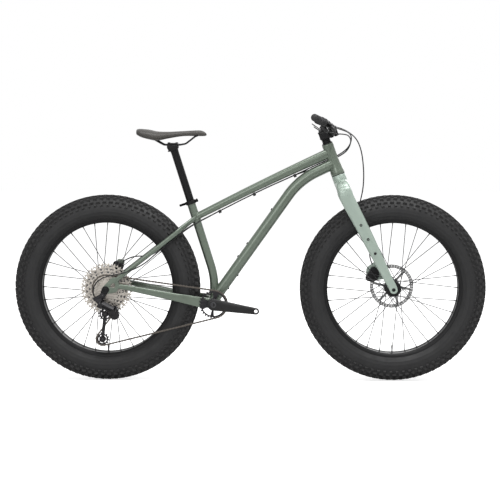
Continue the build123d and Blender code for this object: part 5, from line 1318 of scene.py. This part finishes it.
for name, rows, finish in (
    ("grips", grip["start"] + ribs + grip["end"], gripRubber), ("gripCollars", grip["collar"], blackAlloy),
):
    sleeve = turned(rows, barTip - barOut * grip["long"], barOut, 40)
    makePiece(name, [flip(sleeve), sleeve], "steering", finish, ("grips",), sharp=35)


# A grid on the bar: x outboard, y forward and down by the tilt, z square to both
def controlGrid(hand, reachY, tilt):
    spot = barBend.lerp(barTip, (reachY - 98) / 290)
    out = Vector((barOut.x, barOut.y * hand, barOut.z))
    ahead = Vector((cos(radians(tilt)), 0, -sin(radians(tilt))))
    ahead = (ahead - out * ahead.dot(out)).normalized()
    return place(Vector((spot.x, spot.y * hand, spot.z)), out, out.cross(ahead))


def raised(grid, z):
    return grid @ Matrix.Translation((0, 0, z))


# brake levers
lever = {
    "reach": 236, "tilt": 28,
    "clamp": [(-7, 11.2), (-7, 14.6), (-6, 15.5), (6, 15.5), (7, 14.6), (7, 11.2)],
    "body": [(-7, 8), (8, 8), (13, 26), (15, 46), (-3, 50), (-32, 38), (-36, 24), (-31, 13)], "bodyThick": 14,
    "slot": [(-5, 30), (20, 30), (20, 60), (-12, 60), (-12, 46)], "slotThick": 6.4,
    "reservoir": [(-30, 14), (-6, 12), (2, 24), (-2, 40), (-28, 34), (-34, 24)],
    "blade": [
        (0, 38), (6, 33), (14, 34), (30, 46), (62, 44), (102, 47), (114, 56), (108, 60), (98, 54), (62, 51),
        (28, 54), (6, 46), (0, 44),
    ],
    "bladeThick": 5.6, "pivot": (6, 39), "cap": [(0, 4.2), (6, 4.2), (7, 3.6), (13, 3.4), (14, 2.8)],
}
leverBodies, leverFittings = [], []
for hand, name in ((1, "left"), (-1, "right")):
    grid = controlGrid(hand, lever["reach"], lever["tilt"])
    out, lid = grid.to_3x3().col[0], grid.to_3x3().col[2]
    clamp = turned(lever["clamp"], grid @ Vector((0, 0, 0)), out, 40, loop=True)
    shell = plate([roundOff(lever["body"], 7, 5)], raised(grid, -7), lever["bodyThick"], 2.4, 4)
    slot = plate([lever["slot"]], raised(grid, -3.2), lever["slotThick"], 0.2, 1)
    reservoir = plate([roundOff(lever["reservoir"], 6, 5)], raised(grid, 5.5), 4.2, 1.5, 3)
    leverBodies += [clamp, cut(shell, slot), reservoir]
    pivotX, pivotY = lever["pivot"]
    leverFittings += [
        rod(grid @ Vector((pivotX, pivotY, -7.6)), grid @ Vector((pivotX, pivotY, 7.6)), 2.5),
        bolt(grid @ Vector((-24, 20, 9.6)), lid, 1.8, 0.8),
        bolt(grid @ Vector((-10, 32, 9.6)), lid, 1.8, 0.8),
        bolt(grid @ Vector((0, 0, 15.2)), lid, 3.0, 2.4),
        turned(lever["cap"], grid @ Vector((-33, 27, 0)), -out, 20),
    ]
    bladeLines = [roundOff(lever["blade"], 5, 5), ringOf(pivotX, pivotY, 2.6, 20)]
    blade = plate(bladeLines, raised(grid, -lever["bladeThick"] / 2), lever["bladeThick"], 1.8, 3)
    node = f"brake_lever_{name}"
    makePiece(f"brakeLever{name.title()}", [blade], node, blackAlloy, (node,), sharp=40)
makePiece("leverBodies", leverBodies, "steering", blackAlloy, ("brake_lever_bodies",), sharp=40)
makePiece("leverFittings", leverFittings, "steering", boltSteel, ("brake_lever_bodies",), sharp=35)

# shifter
shifter = {
    "reach": 188, "tilt": 35,
    "clamp": [(-5, 11.2), (-5, 14.2), (-4.2, 15), (4.2, 15), (5, 14.2), (5, 11.2)],
    "housing": [(-22, -14), (10, -16), (18, -4), (18, 14), (6, 24), (-20, 20)], "housingLow": 30.5,
    "housingThick": 15,
    "postHead": [(-44, 5.6), (-43.6, 6.4), (-42.2, 6.4), (-42, 5)],
    "dial": [(-31, 9), (-15.2, 9.4), (-14.4, 8.4), (-14.2, 3)],
    "cap": [(0, 4.4), (5, 4.4), (6, 3.8), (12, 3.6), (13, 3)],
    "paddles": (("up", 1, 44, -62), ("down", 6, 36, -38)), "paddleThick": 3.5,  # name, drop, reach, turn
}
shiftGrid = controlGrid(-1, shifter["reach"], shifter["tilt"])
out, lid, centre = shiftGrid.to_3x3().col[0], shiftGrid.to_3x3().col[2], shiftGrid.translation
housingGrid = raised(shiftGrid, -shifter["housingLow"])
shiftParts = [
    turned(shifter["clamp"], centre, out, 40, loop=True),
    plate([roundOff(shifter["housing"], 7, 5)], housingGrid, shifter["housingThick"], 3.5, 4),
    rod(raised(shiftGrid, -30).translation, raised(shiftGrid, -43.5).translation, 4.0),
    turned(shifter["postHead"], centre, lid, 24),
    turned(shifter["dial"], shiftGrid @ Vector((-8, 3, 0)), lid, 32),
    turned(shifter["cap"], shiftGrid @ Vector((-20, 12, -22)), -out, 20),
]
makePiece("shifter", shiftParts, "steering", controlPlastic, ("shifter_body",), sharp=38)
for name, drop, reach, turn in shifter["paddles"]:
    thick = shifter["paddleThick"]
    line = [(0, -8), (reach - 12, -7), (reach, -13), (reach + 6, -9), (reach + 4, 9), (reach - 10, 5), (0, 8)]
    outline = ringOf(0, 0, 9, 24, pi / 2)[:13] + roundOff(line, 3, 4)[5:-5]  # a round eye, then the blade
    below = raised(shiftGrid, -(shifter["housingLow"] + drop + thick))
    paddleGrid = below @ Matrix.Rotation(radians(turn), 4, "Z")
    paddle = plate([outline, ringOf(0, 0, 4.1, 20)], paddleGrid, thick, 1.0, 2)
    node = f"shift_lever_{name}"
    makePiece(f"shiftPaddle{name.title()}", [paddle], node, controlPlastic, (node,), sharp=40)
print("cockpit made")

# calipers and pads, each drawn on a face that looks out along the wheel's radius
caliper = {
    "front": [(-24, -12), (-24, 12), (-10, 27), (12, 34), (22, 25), (22, -25), (12, -34), (-10, -27)],
    "rear": [(-24, -10), (-24, 12), (-10, 26), (12, 32), (22, 24), (22, -14), (-6, -16)],
    "button": [(0, 10), (2.2, 10), (3.0, 9.2), (3.0, 7.6), (2.4, 7.4), (2.4, 3), (1.8, 2.6)],
    "bolts": ((14, 20), (14, -8)), "pin": -12, "gap": 6,
    "pad": [(-18, -12), (-18, 12), (-2, 12), (-2, -12)], "padThick": 4.2,
    "foot": [(4, -8), (22, -10), (22, 24), (12, 28)], "footFace": 98.5, "footThick": 3.4,
    "places": (  # end, axle, turn, rotor's radius and place, body, high and low face
        ("front", frontAxle, 149, 90, 60, "steering", 76, 44),
        ("rear", rearAxle, 62, 80, 84, "frame", 95.4, 71),
    ),
}


def caliperGrid(axle, turn, radius, y):
    radial = Vector((cos(radians(turn)), 0, sin(radians(turn))))
    centre = axle + radial * radius
    return place(Vector((centre.x, y, centre.z)), radial, -crosswise)


for end, axle, turn, radius, rotorY, body, high, low in caliper["places"]:
    def facing(y, axle=axle, turn=turn, radius=radius):
        return caliperGrid(axle, turn, radius, y)

    outline, gap, pin = roundOff(caliper[end], 6, 5), caliper["gap"], caliper["pin"]
    bridge = [(3, y) if x < 3 else (x, y) for x, y in caliper[end] if x > -12]
    parts = [
        plate([outline], facing(high), high - rotorY - gap, 2.2, 3),
        plate([outline], facing(rotorY - gap), rotorY - gap - low, 2.2, 3),
        plate([roundOff(bridge, 3, 4)], facing(rotorY + gap + 1), 2 * gap + 2, 0.4, 1),
        turned(caliper["button"], facing(low) @ Vector((-4, 0, 0)), -crosswise, 36),
    ]
    makePiece(f"{end}Caliper", parts, body, blackAlloy, (f"{end}_caliper",), sharp=40)
    heads = []
    for x, y in caliper["bolts"]:
        heads.append(bolt(facing(low) @ Vector((x, y, 0)), -crosswise, 3.2, 2.4))
        heads.append(bolt(facing(high) @ Vector((x, y, 0)), crosswise, 3.2, 1.6))
    heads.append(rod(facing(rotorY - 8) @ Vector((pin, 0, 0)), facing(rotorY + 8) @ Vector((pin, 0, 0)), 1.6))
    makePiece(f"{end}CaliperBolts", heads, body, boltSteel, (f"{end}_caliper",), sharp=35)
    for name, top in (("outer", rotorY + 5.55), ("inner", rotorY - 1.35)):
        pad = plate([roundOff(caliper["pad"], 3, 4)], facing(top), caliper["padThick"], 0.4, 1)
        node = f"{end}_pad_{name}"
        makePiece(f"{end}Pad{name.title()}", [pad], node, padCompound, (node,), sharp=40)
footGrid = caliperGrid(rearAxle, 62, 80, caliper["footFace"])
foot = plate([roundOff(caliper["foot"], 4, 4)], footGrid, caliper["footThick"], 0.8, 2)
makePiece("rearCaliperFoot", [foot], "frame", blackAlloy, ("rear_caliper",), sharp=40)
print("brakes made")

# saddle, rails and post
saddle = {
    "rows": [  # place along, half width, top, bottom
        [-461, 44, 1027, 1009], [-459, 52, 1029, 1006], [-452, 60, 1030.5, 1002], [-440, 67, 1030, 996],
        [-410, 71, 1027, 988], [-376, 65, 1020, 983], [-330, 42, 1019, 992], [-270, 24, 1022, 1001],
        [-212, 20, 1025, 1001], [-192, 18, 1021.5, 1001], [-182, 14.5, 1016, 1002], [-177.5, 9, 1011, 1004],
    ],
    "sides": 56, "belly": 0.36, "groove": 2.2, "grooveHalf": 9, "grooveFront": -200, "grooveRun": 40,
}
rings = []
for x, half, top, bottom in smoothRows(saddle["rows"], 6):
    ring = []
    for k in range(saddle["sides"]):
        turn = 2 * pi * k / saddle["sides"]
        y = half * abs(cos(turn)) ** 0.75 * (1 if cos(turn) > 0 else -1)
        middle = bottom + (top - bottom) * saddle["belly"]
        rise = (top - middle) * max(sin(turn), 0) ** 0.72 - (middle - bottom) * max(-sin(turn), 0) ** 0.6
        share = min(1, max(0, (saddle["grooveFront"] - x) / saddle["grooveRun"]))
        share *= 1 if sin(turn) > 0 else 0
        groove = saddle["groove"] * max(0.0, 1 - (y / saddle["grooveHalf"]) ** 2) * share
        ring.append(Vector((x, y, middle + rise - groove)))
    rings.append(ring)
saddlePiece = makePiece("saddle", [skin(rings)], "seat", saddleCover, ("saddle",), sharp=70)

railLow = postHead.z + 8
rail = {
    "size": 7.0, "bend": 22,
    "points": [
        (-218, 15, 1004), (-262, 21, railLow + 4), (-284, 22, railLow), (-350, 22, railLow), (-402, 34, 996),
    ],
    "noseCup": [(-6, 5.4), (-5, 6.2), (3, 5.6), (4, 4.6)],
    "tailCup": [(-4, 4.8), (-3, 5.8), (5, 6.4), (6, 5.6)],
}
rails = []
for hand in (1, -1):
    path = filletPath([(x, hand * y, z) for x, y, z in rail["points"]], rail["bend"], 8)
    rails.append(tube(path, (rail["size"], rail["size"]), 2.0, 20, crosswise))
    rails.append(turned(rail["noseCup"], path[0], path[1] - path[0], 24))
    rails.append(turned(rail["tailCup"], path[-1], path[-1] - path[-2], 24))
makePiece("rails", rails, "seat", railSteel, ("saddle_rails",), sharp=40)

post = {
    "tube": [(-102, 14.6), (-102, 15.4), (-101.4, 15.8), (210, 15.8), (222, 17.0), (230, 16.2)],
    "cradle": [(-24, -4), (-20, -12), (-8, -18), (14, -14), (22, -6), (22, 7), (-24, 7)],
    "cap": [(-24, 9), (22, 9), (20, 15), (-22, 15)], "width": 56,
    "bolts": (-17, 15), "nut": [(-4, 4.8), (-3.4, 5.6), (0, 5.6)], "head": [(0, 5.6), (2, 5.6), (2.8, 4.6)],
}
headGrid = place(postHead + crosswise * (post["width"] / 2), forward, -crosswise)
postParts = [
    turned(post["tube"], seatTop, seatUp, 56),
    plate([roundOff(post["cradle"], 5, 5)], headGrid, post["width"], 2.2, 3),
    plate([roundOff(post["cap"], 3, 4)], headGrid, post["width"], 1.4, 3),
]
seatBolts = []
for x in post["bolts"]:
    seatBolts += [
        rod(postHead + Vector((x, 0, -20)), postHead + Vector((x, 0, 17)), 3.2),
        turned(post["nut"], postHead + Vector((x, 0, -17)), upright, 6),
        turned(post["head"], postHead + Vector((x, 0, 15)), upright, 24),
    ]
makePiece("seatpost", postParts, "seat", blackAlloy, ("seatpost",), sharp=38)
makePiece("seatBolts", seatBolts, "seat", boltSteel, ("seatpost",), sharp=35)
print("seat made")

# cassette: the chain's route comes first, because every tooth stands between two of its pins
chainSet = {
    "pitch": 12.7, "y": -72.0, "links": 116, "cog": 28, "ring": 28, "pulley": 13,
    "tension": Vector((-600.633, 0, 175.274)), "guide": Vector((-590.023, 0, 277.428)),
}
circles = (  # centre, teeth, sense
    (rearAxle, chainSet["cog"], 1), (bottomBracket, chainSet["ring"], 1),
    (chainSet["tension"], chainSet["pulley"], 1), (chainSet["guide"], chainSet["pulley"], -1),
)


def pitchRadius(teeth):
    return chainSet["pitch"] / (2 * sin(pi / teeth))


# The chain's arcs and runs: links so far, centre or start, teeth, sense and angle
def chainPath():
    headings = []
    for k, (centre, teeth, sense) in enumerate(circles):
        nextCentre, nextTeeth, nextSense = circles[(k + 1) % 4]
        run = nextCentre - centre
        flat = hypot(run.x, run.z)
        difference = sense * pitchRadius(teeth) - nextSense * pitchRadius(nextTeeth)
        headings.append((atan2(run.z, run.x) - asin(difference / flat), (flat**2 - difference**2) ** 0.5))
    pieces, links = [], 0.0
    for k, (centre, teeth, sense) in enumerate(circles):
        arriving, leaving = headings[k - 1][0], headings[k][0]
        pieces.append((links, centre, teeth, sense, arriving + sense * pi / 2))
        links += ((sense * (arriving - leaving)) % (2 * pi)) * teeth / (2 * pi)
        end = leaving + sense * pi / 2
        pieces.append((links, centre + Vector((cos(end), 0, sin(end))) * pitchRadius(teeth), 0, 0, leaving))
        links += headings[k][1] / chainSet["pitch"]
    return pieces


chainPieces = chainPath()


def pinPlace(count):
    links, spot, teeth, sense, angle = [piece for piece in chainPieces if piece[0] <= count + 1e-9][-1]
    if teeth:
        turn = angle - sense * (count - links) * 2 * pi / teeth
        spot = spot + Vector((cos(turn), 0, sin(turn))) * pitchRadius(teeth)
    else:
        spot = spot + Vector((cos(angle), 0, sin(angle))) * (count - links) * chainSet["pitch"]
    return Vector((spot.x, chainSet["y"], spot.z))


def toothPhase(order):
    links, _, teeth, sense, angle = chainPieces[2 * order]
    return angle - sense * (0.5 - links) * 2 * pi / teeth


def toothedLine(teeth, phase=0.0, root=3.7, tip=2.6):
    outline = []
    reach, step = pitchRadius(teeth), 2 * pi / teeth
    profile = ((-0.34, -root), (-0.22, -1.2), (-0.1, tip), (0.1, tip), (0.22, -1.2), (0.34, -root))
    for k in range(teeth):
        for share, height in profile:
            turn = phase + (k + share) * step
            outline.append(((reach + height) * cos(turn), (reach + height) * sin(turn)))
    return outline


# An opening between two radii and two angles, with rounded corners
def sector(inner, outer, start, end, steps=6, corner=1.0):
    turns = [start + (end - start) * s / steps for s in range(steps + 1)]
    line = [(inner * cos(turn), inner * sin(turn)) for turn in turns]
    line += [(outer * cos(turn), outer * sin(turn)) for turn in reversed(turns)]
    return roundOff(line, corner, 2)


cassette = {
    "teeth": (51, 45, 39, 33, 28, 24, 21, 18, 16, 14, 12, 10), "first": 58.8, "gap": 3.3, "thick": 1.5,
    "engaged": 4, "twist": 0.07, "open": (0.22, 0.78),  # a share of each step is cut away between the arms
    "faceRows": [(50.4, 15.0), (51, 16.0)], "endRows": [(97.4, 12.5), (98.1, 12.0), (98.1, 7.6), (50.4, 7.6)],
}
cogPlates = []
cogTeeth = cassette["teeth"]
for k, teeth in enumerate(cogTeeth):
    reach = pitchRadius(teeth)
    after = pitchRadius(cogTeeth[k + 1]) if k < 11 else 14
    phase = toothPhase(0) if k == cassette["engaged"] else cassette["twist"] * k
    outlines = [toothedLine(teeth, phase), ringOf(0, 0, max(after - 9, 12.6), 48)]
    if teeth >= 24:
        count = teeth // 2 if teeth > 28 else teeth // 3
        step = 2 * pi / count
        start, end = cassette["open"]
        for j in range(count):
            outlines.append(sector(after - 2.6, reach - 6.4, (j + start) * step, (j + end) * step, 2, 1.2))
    face = -cassette["first"] - k * cassette["gap"]
    cogPlates.append(plate(outlines, sideOn(face, rearAxle.x, rearAxle.z), cassette["thick"], 0.2, 1))
makePiece("cogs", cogPlates, "cassette", cogSteel, ("cassette",), sharp=30)
barrelRows = list(cassette["faceRows"])
for k in range(11):
    near = cassette["first"] + cassette["gap"] * k + cassette["thick"] + 0.05
    inside = max(pitchRadius(cogTeeth[k + 1]) - 8.5, 14.5)
    barrelRows += [(near, inside), (near + 1.7, inside)]
barrel = turned(barrelRows + cassette["endRows"], rearAxle, -crosswise, 56, loop=True)
makePiece("cassetteCore", [barrel], "cassette", boltSteel, ("cassette",), sharp=32)

# chain: an inner and an outer link set in turn along the route
linkShape = {
    "inner": (3.55, 2.7, 0.12, (1.55, -0.9)), "outer": (3.6, 2.3, 0.15, (2.25, -1.6)),
    "thick": 0.65, "roller": [(-0.85, 3.6), (-0.7, 3.8), (0.7, 3.8), (0.85, 3.6)],
    "pin": 1.75, "pinHalf": 2.35,
}  # an inner or outer plate has its end, waist, bevel and the places of its two faces
halfPitch = chainSet["pitch"] / 2


def linkPlates(end, waist, bevel, faces):
    outline = []
    for middle, low, dip in ((halfPitch, -118, waist), (-halfPitch, 62, -waist)):
        for s in range(11):
            turn = radians(low + 236 * s / 10)
            outline.append((middle + end * cos(turn), end * sin(turn)))
        outline.append((0.0, dip))
    return [
        plate([outline], place((0, y, 0), forward, -crosswise), linkShape["thick"], bevel, 1) for y in faces
    ]


innerParts, outerParts = linkPlates(*linkShape["inner"]), linkPlates(*linkShape["outer"])
for x in (halfPitch, -halfPitch):
    innerParts.append(turned(linkShape["roller"], Vector((x, 0, 0)), crosswise, 14))
    pinEnds = [(x, hand * linkShape["pinHalf"], 0) for hand in (-1, 1)]
    outerParts.append(rod(*pinEnds, linkShape["pin"], 0.2, 12))
innerLink = addObject("innerLink", plainMesh("innerLink", innerParts))
outerLink = addObject("outerLink", plainMesh("outerLink", outerParts))
middles, headings = [], []
for k in range(chainSet["links"]):
    first, second = pinPlace(k), pinPlace((k + 1) % chainSet["links"])
    middles.append((first + second) / 2 * mm)
    headings += list((second - first).normalized())
route = bpy.data.meshes.new("chain")
route.from_pydata(middles, [], [])
route.attributes.new("heading", "FLOAT_VECTOR", "POINT").data.foreach_set("vector", headings)
chain = addObject("chainLinks", route)
grow(chain, alongChain, InnerLink=innerLink, OuterLink=outerLink, Finish=chainSteel)
dress(chain, "frame", chainSteel, ("chain",), sharp=35)
for spare in (innerLink, outerLink):
    bpy.data.objects.remove(spare)
print("chain laid")

# chainring and cranks
chainring = {
    "face": -71.15, "thick": 1.7, "bore": 14.6,
    "windows": ((8, 62), (92, 148), (206, 254), (272, 328)), "windowLow": 26, "windowHigh": 47.5,
    "carrier": [
        (59, 20.8), (59.7, 21.5), (69, 21.5), (70.5, 25), (72.9, 25), (74, 21.5), (78.3, 21.5), (79, 20.8),
        (79, 14.6), (59, 14.6),
    ],
    "bolts": 8, "boltCircle": 19,
}
ringLines = [toothedLine(chainSet["ring"], toothPhase(1)), ringOf(0, 0, chainring["bore"], 40)]
for start, end in chainring["windows"]:
    low, high = chainring["windowLow"], chainring["windowHigh"]
    ringLines.append(sector(low, high, radians(start), radians(end), 8, 3.0))
ringGrid = sideOn(chainring["face"], bottomBracket.x, bottomBracket.z)
ringParts = [
    plate(ringLines, ringGrid, chainring["thick"], 0.25, 1),
    turned(chainring["carrier"], bottomBracket, -crosswise, 56, loop=True),
]
for k in range(chainring["bolts"]):
    turn = 2 * pi * k / chainring["bolts"]
    spot = bottomBracket + Vector((cos(turn), 0, sin(turn))) * chainring["boltCircle"] - crosswise * 71
    ringParts.append(bolt(spot, -crosswise, 1.6, 8.6))
makePiece("chainring", ringParts, "crank", derailleurBlack, ("chainring",), sharp=32)

arm = {
    "length": 175.0, "boss": 24.0, "end": 13.5, "angle": radians(-8), "hole": 7.1, "thinnest": 2.0,
    "inner": ((-25, 79), (30, 80), (189, 97)),
    "outer": ((-25, 94), (0, 95.5), (40, 97.5), (110, 106), (189, 109.5)),
    "cover": [(93, 12.0), (95.6, 12.0), (96.4, 11.4), (96.4, 7.0), (95.4, 6.6)],
    "sleeve": [(96, 8.7), (109.4, 8.7), (109.8, 8.3), (109.8, 7.1), (96, 7.1)],
    "spindle": [(-94, 11.0), (-94, 14.5), (79, 14.5), (79, 11.0)],
}


def readLine(line, where):
    for (a, low), (b, high) in zip(line, line[1:]):
        if where <= b:
            return low + (high - low) * (where - a) / (b - a)
    return line[-1][1]


def armHalf(where):
    boss, end, length = arm["boss"], arm["end"], arm["length"]
    if where < 0:
        half = (boss**2 - where**2) ** 0.5
    elif where <= length:
        half = boss + (end - boss) * where / length
    else:
        half = max(end**2 - (where - length) ** 2, 0) ** 0.5
    return max(half, arm["thinnest"])


def crankArm(hand, heading):
    up = Vector((-heading.z, 0, heading.x))
    length, quarter = arm["length"], [pi / 2 * s / 8 for s in range(9)]
    stops = [-arm["boss"] * cos(turn) for turn in quarter[:-1]] + [length * s / 24 for s in range(25)]
    stops += [length + arm["end"] * sin(turn) for turn in quarter[1:]]
    rings = []
    for where in stops:
        inner, outer = readLine(arm["inner"], where), readLine(arm["outer"], where)
        centre = bottomBracket + heading * where + crosswise * hand * (inner + outer) / 2
        rings.append([
            centre + up * a + crosswise * b for a, b in oval(2 * armHalf(where), outer - inner, 3.6, 40)
        ])
    eye = bottomBracket + heading * length
    return cut(skin(rings), turned([(85, arm["hole"]), (120, arm["hole"])], eye, crosswise * hand, 40))


for hand, name in ((-1, "right"), (1, "left")):
    heading = Vector((cos(arm["angle"]), 0, sin(arm["angle"]))) * -hand
    eye = bottomBracket + heading * arm["length"]
    parts = [crankArm(hand, heading)]
    if hand < 0:
        parts.append(turned(arm["spindle"], bottomBracket, -crosswise, 48, loop=True))
    trim = [
        turned(arm["cover"], bottomBracket, crosswise * hand, 48),
        turned(arm["sleeve"], eye, crosswise * hand, 40, loop=True),
    ]
    makePiece(f"crankArm{name.title()}", parts, "crank", crankBlack, (f"crank_arm_{name}",), sharp=40)
    makePiece(f"crankTrim{name.title()}", trim, "crank", boltSteel, (f"crank_arm_{name}",), sharp=32)
print("cranks made")

# derailleur
mech = {
    "hinge": Vector((0.2874, 0.7653, 0.5748)).normalized(),
    "heading": Vector((0.8944, 0, -0.4472)).normalized(),
    "pins": (  # each link's upper and lower pin
        ("inner", Vector((-600.7, -112, 318.4)), Vector((-555.979, -112, 296.039))),
        ("outer", Vector((-595.905, -121.003, 327.989)), Vector((-551.184, -121.003, 305.629))),
    ),
    "linkHalf": 5, "pinHole": 2.6, "linkWide": 20,
    "screws": (((-618, -113.4, 346), 2.0), ((-606, -113.4, 352), 1.6)),
    "clutch": Vector((-548, 0, 276)),
    "clutchRows": [
        (80, 17.0), (80.8, 18.0), (101, 18.2), (104, 17.0), (105.6, 14.5), (105.8, 8.2), (105.0, 7.8),
        (105.0, 3.0),
    ],
    "clutchScrews": (40, 160, 280), "cageFaces": (-76, -66), "cageRing": 13.5, "cageHole": 9.5,
    "pulleyFace": -70.9, "pulleyThick": 2.2,
    "pulleyHub": [(68.5, 8.4), (69, 9), (75, 9), (75.5, 8.4), (75.5, 2.6), (68.5, 2.6)],
}
for name, upper, lower in mech["pins"]:
    length = (lower - upper).length
    half = [
        (mech["linkHalf"] * cos(radians(t)), mech["linkHalf"] * sin(radians(t))) for t in range(90, 271, 15)
    ]
    outlines = [half + [(length - x, -y) for x, y in half]]
    outlines += [ringOf(x, 0, mech["pinHole"], 16) for x in (0, length)]
    grid = place(upper - mech["hinge"] * (mech["linkWide"] / 2), mech["heading"], mech["hinge"])
    side = plate(outlines, grid, mech["linkWide"], 1.2, 2)
    makePiece(
        f"link{name.title()}", [side], f"link_{name}", derailleurBlack, (f"derailleur_link_{name}",),
        sharp=38,
    )
clutch, guide, tension = mech["clutch"], chainSet["guide"], chainSet["tension"]
upperParts = [softened("derailleur_knuckle_upper", 0.7, 2)]
upperTrim = [bolt(rearAxle + Vector((-12, -118, -27)), -crosswise, 5.4, 2.6)]
upperTrim += [bolt(spot, -crosswise, size, 2.0) for spot, size in mech["screws"]]
lowerParts = [
    softened("derailleur_knuckle_lower", 0.7, 2), turned(mech["clutchRows"], clutch, -crosswise, 56),
]
lowerTrim = [bolt(clutch - crosswise * 105, -crosswise, 3.0, 1.0)]
for turn in mech["clutchScrews"]:
    spot = clutch + Vector((13 * cos(radians(turn)), -104.6, 13 * sin(radians(turn))))
    lowerTrim.append(bolt(spot, -crosswise, 1.5, 1.0))
cageParts = [softened("derailleur_cage", 0.4, 1)]
cageRing = [ringOf(0, 0, mech["cageRing"], 40), ringOf(0, 0, mech["cageHole"], 32)]
for y in mech["cageFaces"]:
    cageParts += [plate(cageRing, sideOn(y, centre.x, centre.z), 2.0, 0.4, 1) for centre in (guide, tension)]
cageBolts = [bolt(centre - crosswise * 78, -crosswise, 3.4, 1.4) for centre in (guide, tension)]
for name, parts, body, finish, node, sharp in (
    ("knuckleUpper", upperParts, "frame", derailleurBlack, "derailleur_knuckle_upper", 38),
    ("knuckleUpperTrim", upperTrim, "frame", boltSteel, "derailleur_knuckle_upper", 35),
    ("knuckleLower", lowerParts, "knuckle_lower", derailleurBlack, "derailleur_knuckle_lower", 38),
    ("knuckleLowerTrim", lowerTrim, "knuckle_lower", boltSteel, "derailleur_knuckle_lower", 35),
    ("cage", cageParts, "cage", derailleurBlack, "derailleur_cage", 38),
    ("cageBolts", cageBolts, "cage", boltSteel, "derailleur_cage", 35),
):
    makePiece(name, parts, body, finish, (node,), sharp=sharp)
for name, centre, order in (("guide", guide, 3), ("tension", tension, 2)):
    outlines = [toothedLine(chainSet["pulley"], toothPhase(order), 3.9, 2.4), ringOf(0, 0, 2.6, 20)]
    for k in range(5):
        outlines.append(sector(9.6, 17.0, radians(72 * k + 10), radians(72 * k + 62), 5, 1.6))
    disc = plate(outlines, sideOn(mech["pulleyFace"], centre.x, centre.z), mech["pulleyThick"], 0.35, 1)
    sleeve = turned(mech["pulleyHub"], centre, -crosswise, 32, loop=True)
    makePiece(
        f"{name}Pulley", [disc, sleeve], f"{name}_pulley", derailleurBlack, (f"{name}_pulley",), sharp=35,
    )
print("drivetrain made")
